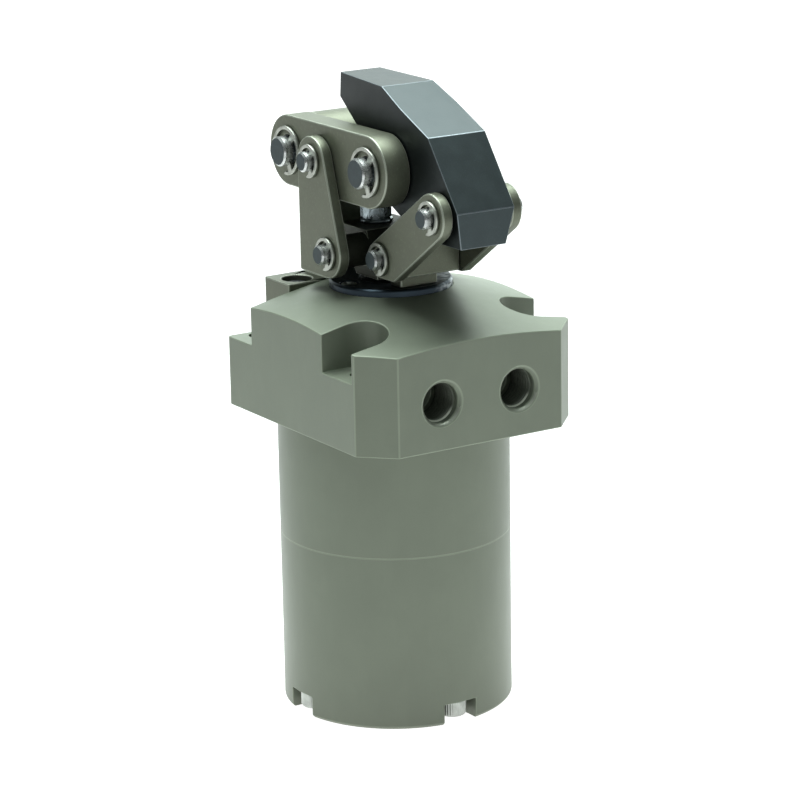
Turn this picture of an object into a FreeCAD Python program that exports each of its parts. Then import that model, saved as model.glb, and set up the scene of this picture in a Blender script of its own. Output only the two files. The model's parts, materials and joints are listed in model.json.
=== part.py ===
# Link clamp: a flanged twin-piston air cylinder whose rod lifts a linked clamp arm.
# Millimetres. Z runs up the cylinder axis, the origin is on the flange's underside,
# the arm's nose points along +Y, the air ports face -Y, and every link pin lies along X.
import FreeCAD, Part
import math
import os
import Sketcher

DOC = FreeCAD.newDocument("link_clamp")
SHEET = DOC.addObject("Spreadsheet::Sheet", "sheet")

# The driving dimensions: alias, value, what it measures.
SIZES = [
    ("flange_width", 74.8, "flange width along X"),
    ("port_face", 47.5, "cylinder axis to the port face"),
    ("nose_face", 33.9, "cylinder axis to the face under the arm's nose"),
    ("port_chamfer", 9.1, "45 degree chamfer on the two port-side corners"),
    ("corner_round", 1.2, "radius on the two nose-side corners"),
    ("shelf_height", 21.3, "flange thickness under the screw heads"),
    ("crown_apex", 43.3, "height where the crown's cone would meet the axis"),
    ("crown_slope", 0.25, "fall of the crown for each millimetre of radius"),
    ("crown_flat", 39.2, "height of the crown's flat top"),
    ("bolt_pitch", 58.0, "spacing of the mounting screws, both ways"),
    ("bolt_bore", 6.6, "clearance hole of the mounting screws"),
    ("slot_width", 16.1, "width of the screw slots in the side faces"),
    ("seat_half", 24.0, "half width of the step between the nose pockets"),
    ("seat_back", 19.5, "cylinder axis to the back wall of the nose pockets"),
    ("foot_seat", 28.5, "height of the step that carries the tower"),
    ("port_pitch", 26.8, "spacing of the two air ports"),
    ("port_height", 14.0, "height of the air ports above the underside"),
    ("port_bore", 11.8, "core diameter of the air ports"),
    ("port_depth", 15.0, "depth of the air ports"),
    ("port_mouth", 1.0, "depth of the ports' chamfered mouths"),
    ("air_way", 4.0, "diameter of the drilled air passages"),
    ("barrel_dia", 70.0, "outer diameter of the barrels"),
    ("barrel_wall", 10.0, "thickness of the barrels' wall"),
    ("seam_depth", 36.5, "underside of the flange to the seam between the barrels"),
    ("base_depth", 90.0, "underside of the flange to the foot of the lower barrel"),
    ("ceiling_depth", 4.0, "underside of the flange to the top of the upper chamber"),
    ("floor_wall", 14.0, "thickness of the lower barrel's floor"),
    ("seam_break", 0.3, "chamfer on each side of the seam"),
    ("base_break", 0.8, "chamfer round the foot"),
    ("notch_width", 11.2, "width of the notches for the barrel screws"),
    ("notch_depth", 6.5, "depth of the notches for the barrel screws"),
    ("lip_reach", 1.6, "how far the divider's lip stands out of the bore"),
    ("lip_height", 3.0, "thickness of the divider's lip"),
    ("divider_height", 11.0, "thickness of the divider between the chambers"),
    ("rod_dia", 14.0, "piston rod above the pistons"),
    ("rod_waist", 12.0, "piston rod between the pistons"),
    ("rod_tail", 8.0, "piston rod through the lower piston"),
    ("stroke", 12.0, "travel of the rod"),
    ("piston_fit", 0.15, "radial gap between a piston and the bore"),
    ("upper_piston_height", 10.0, "thickness of the upper piston"),
    ("lower_piston_height", 18.0, "thickness of the lower piston"),
    ("piston_rest", 0.6, "gap under the pistons when the rod is down"),
    ("ring_nut_height", 3.0, "thickness of the ring nut under the upper piston"),
    ("seal_width", 4.0, "width of the pistons' seals"),
    ("seal_depth", 3.0, "radial depth of the pistons' seals"),
    ("bush_dia", 20.0, "outer diameter of the rod's guide bush"),
    ("bush_top", 22.0, "height of the top of the guide bush"),
    ("seal_bore", 23.0, "diameter of the rod seal's housing"),
    ("gland_dia", 37.0, "outer diameter of the gland ring"),
    ("gland_seat", 34.0, "height of the gland ring's seat"),
    ("gland_top", 40.8, "height of the top of the gland ring"),
    ("gland_sink", 3.1, "depth of the screws' counterbores in the gland ring"),
    ("gland_screw_edge", 3.9, "gland screws from the gland ring's rim"),
    ("wiper_dia", 18.6, "outer diameter of the rod wiper"),
    ("wiper_height", 5.0, "height of the rod wiper's body"),
    ("head_half", 9.6, "half width of the rod head between its bosses"),
    ("head_bottom", 42.2, "height of the rod head's underside at rest"),
    ("head_top", 56.4, "height of the rod head's top at rest"),
    ("head_back", 7.8, "rod head behind the rod's axis"),
    ("head_toe", 4.1, "front of the rod head's underside"),
    ("head_brow", 13.1, "front of the rod head's top"),
    ("head_lean", 5.8, "how far the rod head's back leans forward"),
    ("boss_dia", 9.8, "bosses round the rod pin"),
    ("stop_place", 7.6, "stop screw in front of the rod's axis"),
    ("stop_top", 62.3, "height of the stop screw's tip at rest"),
    ("stop_dia", 5.0, "stop screw diameter"),
    ("nut_width", 8.0, "lock nut across flats"),
    ("nut_height", 4.0, "lock nut height"),
    ("washer_dia", 10.0, "washer under the lock nut"),
    ("washer_height", 1.0, "washer thickness"),
    ("tower_y", 26.9, "tower pin in front of the cylinder axis"),
    ("upper_pins_z", 77.0, "height of the tower, drive and arm pins at rest"),
    ("drive_y", 8.2, "drive pin in front of the cylinder axis"),
    ("arm_pin_y", -16.9, "arm pin from the cylinder axis"),
    ("lower_pins_z", 50.5, "height of the rod and lug pins at rest"),
    ("lug_pin_y", -15.4, "lug pin from the cylinder axis"),
    ("tail_pin_y", -42.4, "tail pin from the cylinder axis"),
    ("tail_pin_z", 67.2, "height of the tail pin at rest"),
    ("big_pin", 9.0, "tower and arm pins"),
    ("small_pin", 6.0, "drive, rod, lug and tail pins"),
    ("running_fit", 0.05, "radial clearance of a pin that turns"),
    ("seat_fit", 0.02, "radial clearance of a pin or screw that is fixed"),
    ("drive_slack", 1.2, "extra radius of the fork's hole round the drive pin"),
    ("tail_slack", 2.3, "extra radius of the arm's hole round the tail pin"),
    ("tower_half", 9.8, "half width of the tower's stem"),
    ("tower_eye", 21.0, "diameter of the tower's eye"),
    ("stem_back", 20.6, "back of the tower's stem"),
    ("stem_front", 33.0, "front of the tower's stem"),
    ("foot_top", 37.8, "height of the tower's foot"),
    ("foot_gap", 0.2, "gap round the tower's foot"),
    ("foot_screw_x", 17.2, "tower screws from the middle"),
    ("foot_screw_y", 26.0, "tower screws in front of the cylinder axis"),
    ("counterbore_depth", 6.5, "depth of the tower screws' counterbores"),
    ("counterbore_dia", 9.2, "diameter of the tower screws' counterbores"),
    ("m5_dia", 5.0, "shank of the tower and barrel screws"),
    ("m5_head", 8.5, "head diameter of the tower and barrel screws"),
    ("m5_head_height", 5.0, "head height of the tower and barrel screws"),
    ("m5_socket", 4.0, "socket of the tower and barrel screws across flats"),
    ("tower_screw_length", 14.0, "tower screw under its head"),
    ("barrel_screw_grip", 13.0, "how far a barrel screw reaches into the flange"),
    ("m3_dia", 3.0, "shank of the gland and lug screws"),
    ("m3_head", 5.5, "head diameter of the gland and lug screws"),
    ("m3_head_height", 3.0, "head height of the gland and lug screws"),
    ("m3_socket", 2.5, "socket of the gland and lug screws across flats"),
    ("gland_screw_length", 8.0, "gland screw under its head"),
    ("lug_screw_length", 8.0, "lug screw under its head"),
    ("lug_half", 9.8, "half width of the rear lug"),
    ("lug_back", 22.3, "back of the rear lug's eye block"),
    ("lug_neck_half", 6.4, "half width of the rear lug's neck"),
    ("lug_neck_edge", 2.9, "back of the rear lug's neck from the gland ring's rim"),
    ("lug_neck_front", 9.9, "front of the rear lug's neck"),
    ("lug_eye", 11.6, "diameter of the rear lug's eye"),
    ("lug_chin", 45.4, "height of the eye block's lower edge"),
    ("lug_crown", 54.5, "height of the eye block's back corner"),
    ("lug_screw_x", 3.4, "rear lug screws from the middle"),
    ("lug_screw_edge", 5.7, "rear lug screws from the gland ring's rim"),
    ("fork_gap", 10.1, "half the gap between the fork's ears"),
    ("fork_ear", 8.3, "thickness of a fork ear"),
    ("fork_height", 21.4, "height of the fork link"),
    ("web_back", 1.2, "back of the fork's web"),
    ("web_front", 15.2, "front of the fork's web"),
    ("web_bottom", 70.0, "underside of the fork's web at rest"),
    ("web_top", 82.2, "top of the fork's web at rest"),
    ("side_gap", 0.3, "gap between a link plate and what it turns beside"),
    ("plate", 3.4, "thickness of the link plates"),
    ("tall_width", 14.6, "width of the tall links"),
    ("tall_heel", 15.4, "front edge of the tall links"),
    ("tie_lower_eye", 11.6, "lower end of the tie links"),
    ("tie_upper_eye", 14.0, "upper end of the tie links"),
    ("tie_heel_y", -22.8, "square corner of the tie links, from the axis"),
    ("tie_heel_z", 44.9, "height of that square corner at rest"),
    ("arm_half", 9.8, "half width of the arm's body"),
    ("nose_half", 6.9, "half width of the arm at its nose"),
    ("taper_start", -22.0, "where the arm starts to narrow"),
    ("nose_y", 15.5, "front of the arm at rest"),
    ("nose_lean", 0.7, "how far the nose's face leans back"),
    ("nose_top", 101.0, "height of the arm's nose at rest"),
    ("nose_bottom", 93.6, "underside of the nose at rest"),
    ("first_ridge_y", -11.0, "first ridge of the arm's back"),
    ("first_ridge_z", 100.2, "height of the first ridge"),
    ("second_ridge_y", -36.4, "second ridge of the arm's back"),
    ("second_ridge_z", 88.8, "height of the second ridge"),
    ("third_ridge_y", -50.9, "third ridge of the arm's back"),
    ("third_ridge_z", 69.1, "height of the third ridge"),
    ("tail_y", -49.5, "lower back corner of the arm"),
    ("tail_z", 58.3, "height of the arm's underside at the back"),
    ("tail_half", 7.7, "half width of the arm's underside at the back"),
    ("belly_y", -27.5, "where the arm's underside rises to the arm pin"),
    ("arm_hub", 20.6, "diameter of the arm's hub round the arm pin"),
    ("throat_y", -5.0, "corner of the arm in front of its hub"),
    ("throat_z", 79.5, "height of that corner"),
    ("big_ring", 14.8, "outer diameter of the big retaining rings"),
    ("big_groove", 7.2, "groove of the big retaining rings"),
    ("small_ring", 10.0, "outer diameter of the small retaining rings"),
    ("small_groove", 4.8, "groove of the small retaining rings"),
    ("ring_height", 1.0, "thickness of the retaining rings"),
    ("ring_gap", 0.1, "gap under a retaining ring"),
    ("ring_rim", 1.1, "radial width of a retaining ring's rim"),
    ("ring_tooth", 2.2, "width of a retaining ring's teeth"),
    ("big_pin_end", 2.8, "tower and arm pins beyond their rings"),
    ("small_pin_end", 2.2, "small pins beyond their rings"),
    ("pin_break", 0.5, "chamfer on the pins' ends"),
]


class Size:
    """A length that carries the spreadsheet expression it comes from."""

    def __init__(self, text, value):
        self.text = text
        self.value = value

    def combine(self, sign, other, value, swap=False):
        other_text = other.text if isinstance(other, Size) else repr(float(other))
        pair = (other_text, self.text) if swap else (self.text, other_text)
        return Size("(%s %s %s)" % (pair[0], sign, pair[1]), value)

    def __add__(self, other):
        return self.combine("+", other, self.value + number(other))

    def __sub__(self, other):
        return self.combine("-", other, self.value - number(other))

    def __rsub__(self, other):
        return self.combine("-", other, number(other) - self.value, swap=True)

    def __mul__(self, other):
        return self.combine("*", other, self.value * number(other))

    def __truediv__(self, other):
        return self.combine("/", other, self.value / number(other))

    def __neg__(self):
        return self.combine("*", -1.0, -self.value)

    __radd__ = __add__
    __rmul__ = __mul__


def number(size):
    return size.value if isinstance(size, Size) else float(size)


class Sheet:
    """The driving dimensions by name, such as S.flange_width."""


def fill_sheet():
    names = Sheet()
    for row, (alias, value, note) in enumerate(SIZES, start=1):
        SHEET.set("A%d" % row, note)
        SHEET.set("B%d" % row, str(value))
        SHEET.setAlias("B%d" % row, alias)
        setattr(names, alias, Size("sheet." + alias, value))
    DOC.recompute()
    return names


S = fill_sheet()
ZERO = 0.0
PIECES = []


def bind(thing, name, size):
    """Set a property, and tie it to the sheet when the size comes from there."""
    if isinstance(size, Size):
        thing.setExpression(name, size.text)
    elif "." not in name:
        setattr(thing, name, size)


# Outlines. Each is a list, run anticlockwise, of corners and eyes that straight sides join.
# An eye is an arc about its centre, and the sides leave it as tangents.
def corner(across, up):
    return (across, up, None)


def eye(across, up, radius):
    return (across, up, radius)


def box(left, right, bottom, top):
    return [corner(left, bottom), corner(right, bottom), corner(right, top), corner(left, top)]


def tangent_normal(first, second):
    """Direction from both centres to the side that joins two eyes or corners."""
    run = (number(second[0]) - number(first[0]), number(second[1]) - number(first[1]))
    first_radius = number(first[2] or ZERO)
    second_radius = number(second[2] or ZERO)
    heading = math.atan2(run[1], run[0])
    return heading - math.acos((first_radius - second_radius) / math.hypot(*run))


def point_on(item, angle):
    radius = number(item[2] or ZERO)
    return FreeCAD.Vector(number(item[0]) + radius * math.cos(angle),
                          number(item[1]) + radius * math.sin(angle), 0)


def constrain(sketch, kind, *where, size):
    index = sketch.addConstraint(Sketcher.Constraint(kind, *where, number(size)))
    if isinstance(size, Size):
        sketch.setExpression("Constraints[%d]" % index, size.text)


def draw_outline(sketch, items):
    count = len(items)
    normals = [tangent_normal(items[i], items[(i + 1) % count]) for i in range(count)]
    sides = []
    for i, normal in enumerate(normals):
        ends = point_on(items[i], normal), point_on(items[(i + 1) % count], normal)
        sides.append(sketch.addGeometry(Part.LineSegment(*ends)))
    for i, (across, up, radius) in enumerate(items):
        before, after = sides[i - 1], sides[i]
        if radius is None:
            sketch.addConstraint(Sketcher.Constraint("Coincident", before, 2, after, 1))
            constrain(sketch, "DistanceX", -1, 1, after, 1, size=across)
            constrain(sketch, "DistanceY", -1, 1, after, 1, size=up)
            continue
        start, stop = normals[i - 1], normals[i]
        while stop < start:
            stop += 2 * math.pi
        centre = FreeCAD.Vector(number(across), number(up), 0)
        circle = Part.Circle(centre, FreeCAD.Vector(0, 0, 1), number(radius))
        arc = sketch.addGeometry(Part.ArcOfCircle(circle, start, stop))
        sketch.addConstraint(Sketcher.Constraint("Tangent", before, 2, arc, 1))
        sketch.addConstraint(Sketcher.Constraint("Tangent", arc, 2, after, 1))
        constrain(sketch, "Radius", arc, size=radius)
        constrain(sketch, "DistanceX", -1, 1, arc, 3, size=across)
        constrain(sketch, "DistanceY", -1, 1, arc, 3, size=up)


def draw_circle(sketch, across, up, radius):
    centre = FreeCAD.Vector(number(across), number(up), 0)
    ring = sketch.addGeometry(Part.Circle(centre, FreeCAD.Vector(0, 0, 1), number(radius)))
    constrain(sketch, "Radius", ring, size=radius)
    constrain(sketch, "DistanceX", -1, 1, ring, 3, size=across)
    constrain(sketch, "DistanceY", -1, 1, ring, 3, size=up)


def new_sketch(body, plane, outlines=(), circles=(), offset=ZERO):
    """A sketch on one of the body's own origin planes, moved along its normal."""
    sketch = body.newObject("Sketcher::SketchObject", body.Name + "_sketch")
    support = [part for part in body.Origin.OriginFeatures if part.Role == plane][0]
    sketch.AttachmentSupport = [(support, "")]
    sketch.MapMode = "FlatFace"
    for items in outlines:
        draw_outline(sketch, items)
    for circle in circles:
        draw_circle(sketch, *circle)
    bind(sketch, "AttachmentOffset.Base.z", offset)
    return sketch


def feature(body, kind, sketch):
    made = body.newObject("PartDesign::" + kind, body.Name + "_" + kind.lower())
    made.Profile = sketch
    return made


def pad(body, sketch, length, both_ways=False):
    made = feature(body, "Pad", sketch)
    made.SideType = "Symmetric" if both_ways else "One side"
    bind(made, "Length", length)
    return made


def pocket(body, sketch, depth, both_ways=False, forward=False, taper=None):
    """Cut a sketch into the body. Forward cuts along the sketch's normal."""
    made = feature(body, "Pocket", sketch)
    made.SideType = "Symmetric" if both_ways else "One side"
    made.Reversed = forward
    bind(made, "Length", depth)
    if taper:
        made.TaperAngle = taper
    return made


def turn(body, sketch, kind="Revolution", axis="V_Axis", angle=None):
    made = feature(body, kind, sketch)
    made.ReferenceAxis = (sketch, [axis])
    if angle is not None:
        bind(made, "Angle", angle)
    return made


def round_array(body, made, count):
    """Repeat a feature about the cylinder axis."""
    pattern = body.newObject("PartDesign::PolarPattern", body.Name + "_pattern")
    axis = [part for part in body.Origin.OriginFeatures if part.Role == "Z_Axis"][0]
    pattern.Originals = [made]
    pattern.Axis = (axis, [""])
    pattern.Angle = 360
    pattern.Occurrences = count
    body.Tip = pattern
    return pattern


def new_body(label):
    body = DOC.addObject("PartDesign::Body", label)
    body.Label = label
    return body


def keep(thing, label=None):
    """Note a finished piece, which is written out under its label."""
    if label:
        thing.Label = label
    PIECES.append(thing)
    return thing


def edges_where(body, test):
    shape = body.Tip.Shape
    return ["Edge%d" % (i + 1) for i, edge in enumerate(shape.Edges) if test(edge)]


def soften(body, kind, size, test):
    """Chamfer or fillet the edges that the test picks."""
    DOC.recompute()
    names = edges_where(body, test)
    base = body.Tip
    made = body.newObject("PartDesign::" + kind, body.Name + "_" + kind.lower())
    made.Base = (base, names)
    bind(made, "Size" if kind == "Chamfer" else "Radius", size)
    return made


def half(size):
    return size / 2


# The fixed pieces: flange, barrels and what is screwed to them.
BORE = half(S.barrel_dia) - S.barrel_wall
LIP = BORE + S.lip_reach
SCREW_CIRCLE = half(S.barrel_dia) - half(S.barrel_wall)
BARREL_SCREW = S.base_depth - S.notch_depth - S.seam_depth + S.barrel_screw_grip


def bolt_slots():
    """The two screw slots that open in the side faces, as seen from above."""
    place, radius, outside = half(S.bolt_pitch), half(S.slot_width), S.flange_width
    left = [corner(-outside, -place - radius), eye(-place, -place, radius),
            corner(-outside, -place + radius)]
    right = [corner(outside, -place + radius), eye(place, -place, radius),
             corner(outside, -place - radius)]
    return [left, right]


def make_flange():
    body = new_body("flange_body")
    side, corner_round, cut = half(S.flange_width), S.corner_round, S.port_chamfer
    plan = [corner(-side + cut, -S.port_face), corner(side - cut, -S.port_face),
            corner(side, -S.port_face + cut),
            eye(side - corner_round, S.nose_face - corner_round, corner_round),
            eye(-side + corner_round, S.nose_face - corner_round, corner_round),
            corner(-side, -S.port_face + cut)]
    pad(body, new_sketch(body, "XY_Plane", [plan]), S.crown_apex)
    pad(body, new_sketch(body, "XY_Plane", circles=[(ZERO, ZERO, half(S.barrel_dia))],
                         offset=-S.seam_depth), S.seam_depth)
    flat_radius = (S.crown_apex - S.crown_flat) / S.crown_slope
    far = S.port_face + side
    over_crown = [corner(ZERO, S.crown_flat), corner(flat_radius, S.crown_flat),
                  corner(far, S.crown_apex - far * S.crown_slope),
                  corner(far, S.crown_apex * 2), corner(ZERO, S.crown_apex * 2)]
    turn(body, new_sketch(body, "XZ_Plane", [over_crown]), "Groove")
    bore, lip = BORE, LIP + S.seat_fit
    seam = -S.seam_depth
    hollow = [corner(ZERO, seam), corner(lip, seam), corner(lip, seam + half(S.lip_height)),
              corner(bore, seam + half(S.lip_height)), corner(bore, -S.ceiling_depth),
              corner(half(S.bush_dia), -S.ceiling_depth), corner(half(S.bush_dia), S.bush_top),
              corner(half(S.seal_bore), S.bush_top), corner(half(S.seal_bore), S.gland_seat),
              corner(half(S.gland_dia) + S.seat_fit, S.gland_seat),
              corner(half(S.gland_dia) + S.seat_fit, S.crown_apex), corner(ZERO, S.crown_apex)]
    turn(body, new_sketch(body, "XZ_Plane", [hollow]), "Groove")
    break_edge = [corner(half(S.barrel_dia) - S.seam_break, seam),
                  corner(half(S.barrel_dia) + 1, seam - 1), corner(half(S.barrel_dia) + 1, seam + 1),
                  corner(half(S.barrel_dia), seam + S.seam_break)]
    turn(body, new_sketch(body, "XZ_Plane", [break_edge]), "Groove")
    deep, wide = S.nose_face * 2, S.flange_width
    pockets = [box(S.seat_half, wide, S.seat_back, deep), box(-wide, -S.seat_half, S.seat_back, deep)]
    pocket(body, new_sketch(body, "XY_Plane", bolt_slots() + pockets, offset=S.shelf_height),
           S.crown_apex, forward=True)
    pocket(body, new_sketch(body, "XY_Plane", [box(-wide, wide, S.seat_back, deep)],
                            offset=S.foot_seat), S.crown_apex, forward=True)
    place = half(S.bolt_pitch)
    bolts = [(x, y, half(S.bolt_bore)) for x in (-place, place) for y in (-place, place)]
    pocket(body, new_sketch(body, "XY_Plane", circles=bolts), S.crown_apex, forward=True)
    make_ports(body)
    make_tapped_holes(body)
    return keep(body)


def make_ports(body):
    """Two air ports with chamfered mouths, and the passages behind them."""
    port_x, front = half(S.port_pitch), S.port_face
    for radius, depth, taper in ((half(S.port_bore) + S.port_mouth, S.port_mouth, -45),
                                 (half(S.port_bore), S.port_depth, None),
                                 (half(S.air_way), front - PASSAGE_Y["upper"], None)):
        circles = [(x, S.port_height, radius) for x in (-port_x, port_x)]
        sketch = new_sketch(body, "XZ_Plane", circles=circles, offset=front)
        pocket(body, sketch, depth, taper=taper)
    for x, key, bottom in ((-port_x, "upper", S.ceiling_depth), (port_x, "lower", S.seam_depth)):
        circles = [(x, -PASSAGE_Y[key], half(S.air_way))]
        sketch = new_sketch(body, "XY_Plane", circles=circles, offset=S.port_height)
        pocket(body, sketch, S.port_height + bottom)


def make_tapped_holes(body):
    """Blind holes for the barrel, tower and gland screws."""
    radius = half(S.m5_dia) + S.seat_fit
    sketch = new_sketch(body, "XY_Plane", circles=[(SCREW_CIRCLE, ZERO, radius)],
                        offset=-S.seam_depth)
    round_array(body, pocket(body, sketch, S.barrel_screw_grip + SCREW_TIP, forward=True), 4)
    tower = [(x, S.foot_screw_y, radius) for x in (-S.foot_screw_x, S.foot_screw_x)]
    grip = S.foot_top - S.counterbore_depth - S.foot_seat
    pocket(body, new_sketch(body, "XY_Plane", circles=tower, offset=S.foot_seat),
           S.tower_screw_length - grip + SCREW_TIP)
    gland = gland_holes(half(S.m3_dia) + S.seat_fit)
    pocket(body, new_sketch(body, "XY_Plane", circles=gland, offset=S.gland_seat),
           S.gland_screw_length - GLAND_GRIP + SCREW_TIP)


def gland_holes(radius):
    """The gland screws' places: the fourth is taken by the rear lug."""
    reach = half(S.gland_dia) - S.gland_screw_edge
    return [(-reach, ZERO, radius), (reach, ZERO, radius), (ZERO, reach, radius)]


SCREW_TIP = 1.0
GLAND_GRIP = S.gland_top - S.gland_seat - S.gland_sink
PASSAGE_Y = {"upper": BORE - half(S.air_way) - 5.0, "lower": SCREW_CIRCLE - 3.0}
PASSAGE_GAP = 2.5


def make_lower_barrel():
    body = new_body("lower_barrel")
    outer, bore, lip = half(S.barrel_dia), BORE, LIP + S.seat_fit
    seam, base, floor = -S.seam_depth, -S.base_depth, -S.base_depth + S.floor_wall
    wall = [corner(ZERO, base), corner(outer - S.base_break, base),
            corner(outer, base + S.base_break), corner(outer, seam - S.seam_break),
            corner(outer - S.seam_break, seam), corner(lip, seam),
            corner(lip, seam - half(S.lip_height)), corner(bore, seam - half(S.lip_height)),
            corner(bore, floor), corner(ZERO, floor)]
    turn(body, new_sketch(body, "XZ_Plane", [wall]))
    width = half(S.notch_width)
    notch = [corner(S.barrel_dia, width), eye(SCREW_CIRCLE, ZERO, width),
             corner(S.barrel_dia, -width)]
    cut = pocket(body, new_sketch(body, "XY_Plane", [notch], offset=base), S.notch_depth, forward=True)
    round_array(body, cut, 4)
    hole = [(SCREW_CIRCLE, ZERO, half(S.m5_dia) + S.running_fit)]
    cut = pocket(body, new_sketch(body, "XY_Plane", circles=hole, offset=base),
                 S.base_depth, forward=True)
    round_array(body, cut, 4)
    port_x, way, depth = half(S.port_pitch), half(S.air_way), PASSAGE_Y["lower"]
    slot = box(port_x - way, port_x + way, -depth - way, -bore + 6.0)
    pocket(body, new_sketch(body, "XY_Plane", [slot], offset=seam),
           half(S.divider_height) + PASSAGE_GAP)
    return keep(body)


def ring_body(label, inner, outer, bottom, top):
    """A plain turned ring about the cylinder axis."""
    body = new_body(label)
    turn(body, new_sketch(body, "XZ_Plane", [box(inner, outer, bottom, top)]))
    return keep(body)


def make_divider():
    """The fixed wall between the chambers, trapped by its lip at the seam."""
    body = new_body("chamber_divider")
    inner, outer = half(S.rod_waist) + S.running_fit, BORE - S.seat_fit
    lip, middle, rise = LIP, -S.seam_depth, half(S.divider_height)
    groove = inner + DIVIDER_SEAL
    section = [corner(inner, middle - rise), corner(outer, middle - rise),
               corner(outer, middle - half(S.lip_height)), corner(lip, middle - half(S.lip_height)),
               corner(lip, middle + half(S.lip_height)), corner(outer, middle + half(S.lip_height)),
               corner(outer, middle + rise), corner(inner, middle + rise),
               corner(inner, middle + half(S.seal_width)), corner(groove, middle + half(S.seal_width)),
               corner(groove, middle - half(S.seal_width)), corner(inner, middle - half(S.seal_width))]
    turn(body, new_sketch(body, "XZ_Plane", [section]))
    keep(body)
    slack = S.seat_fit
    ring_body("divider_seal", inner, groove - slack, middle - half(S.seal_width) + slack,
              middle + half(S.seal_width) - slack)


DIVIDER_SEAL = 2.5


def make_gland():
    rod = half(S.rod_dia)
    ring_body("guide_bush", rod + S.running_fit, half(S.bush_dia) - S.seat_fit,
              -S.ceiling_depth, S.bush_top)
    shoulder = S.gland_seat - GLAND_SPIGOT
    ring_body("rod_seal", rod + S.running_fit, half(S.seal_bore) - S.seat_fit,
              S.bush_top, shoulder)
    body = new_body("gland_ring")
    outer, spigot, mouth = half(S.gland_dia), half(S.seal_bore) - S.seat_fit, half(S.wiper_dia)
    ledge, top = S.gland_top - S.wiper_height, S.gland_top
    section = [corner(rod + GLAND_GAP, shoulder), corner(spigot, shoulder),
               corner(spigot, S.gland_seat), corner(outer, S.gland_seat), corner(outer, top - RIM_BREAK),
               corner(outer - RIM_BREAK, top), corner(mouth, top), corner(mouth, ledge),
               corner(rod + GLAND_GAP, ledge)]
    turn(body, new_sketch(body, "XZ_Plane", [section]))
    head, shank = half(S.m3_head) + HEAD_ROOM, half(S.m3_dia) + S.running_fit
    pocket(body, new_sketch(body, "XY_Plane", circles=gland_holes(head), offset=top), S.gland_sink)
    pocket(body, new_sketch(body, "XY_Plane", circles=lug_holes(head), offset=S.gland_seat),
           S.gland_sink, forward=True)
    pocket(body, new_sketch(body, "XY_Plane", circles=gland_holes(shank) + lug_holes(shank),
                            offset=top), top)
    keep(body)
    body = new_body("rod_wiper")
    inner = rod + S.running_fit
    section = [corner(inner + GLAND_GAP, ledge), corner(mouth - S.seat_fit, ledge),
               corner(mouth - S.seat_fit, top), corner(inner + WIPER_LIP, top),
               corner(inner, top + WIPER_LIP), corner(inner, top - WIPER_LIP)]
    turn(body, new_sketch(body, "XZ_Plane", [section]))
    keep(body)


GLAND_SPIGOT = 3.0
GLAND_GAP = 0.4
HEAD_ROOM = 0.15
RIM_BREAK = 0.6
WIPER_LIP = 0.6


def make_tower():
    """The bracket on the nose side, whose eye carries the fork."""
    body = new_body("front_tower")
    gap = S.foot_gap
    foot = box(S.seat_back + gap, S.nose_face, S.foot_seat, S.foot_top)
    pad(body, new_sketch(body, "YZ_Plane", [foot]), (S.seat_half - gap) * 2, both_ways=True)
    stem = [corner(S.stem_back, S.foot_seat), corner(S.stem_front, S.foot_seat),
            eye(S.tower_y, S.upper_pins_z, half(S.tower_eye))]
    pad(body, new_sketch(body, "YZ_Plane", [stem]), S.tower_half * 2, both_ways=True)
    hole = [(S.tower_y, S.upper_pins_z, half(S.big_pin) + S.seat_fit)]
    pocket(body, new_sketch(body, "YZ_Plane", circles=hole), S.tower_half * 4, both_ways=True)
    for radius, depth in ((half(S.counterbore_dia), S.counterbore_depth),
                          (half(S.m5_dia) + S.running_fit, S.foot_top)):
        holes = [(x, S.foot_screw_y, radius) for x in (-S.foot_screw_x, S.foot_screw_x)]
        pocket(body, new_sketch(body, "XY_Plane", circles=holes, offset=S.foot_top), depth)
    return keep(body)


def lug_holes(radius):
    back = half(S.gland_dia) - S.lug_screw_edge
    return [(x, -back, radius) for x in (-S.lug_screw_x, S.lug_screw_x)]


def make_lug():
    """The bracket behind the rod, whose eye holds the lower end of the tie links."""
    body = new_body("rear_lug")
    block = [corner(-S.lug_back, S.lug_chin), eye(S.lug_pin_y, S.lower_pins_z, half(S.lug_eye)),
             corner(-S.lug_back, S.lug_crown)]
    pad(body, new_sketch(body, "YZ_Plane", [block]), S.lug_half * 2, both_ways=True)
    neck = box(-half(S.gland_dia) + S.lug_neck_edge, -S.lug_neck_front, S.gland_top,
               S.lower_pins_z)
    pad(body, new_sketch(body, "YZ_Plane", [neck]), S.lug_neck_half * 2, both_ways=True)
    hole = [(S.lug_pin_y, S.lower_pins_z, half(S.small_pin) + S.seat_fit)]
    pocket(body, new_sketch(body, "YZ_Plane", circles=hole), S.lug_half * 4, both_ways=True)
    holes = lug_holes(half(S.m3_dia) + S.seat_fit)
    pocket(body, new_sketch(body, "XY_Plane", circles=holes, offset=S.gland_top),
           S.lug_screw_length - GLAND_GRIP + SCREW_TIP, forward=True)
    return keep(body)


# Screws. One body is modelled and its copies are placed as a group.
def hexagon(width):
    """Corners of a hexagon, from its width across flats."""
    reach = width / math.sqrt(3)
    return [corner(reach * math.cos(math.radians(60 * k)), reach * math.sin(math.radians(60 * k)))
            for k in range(6)]


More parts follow.
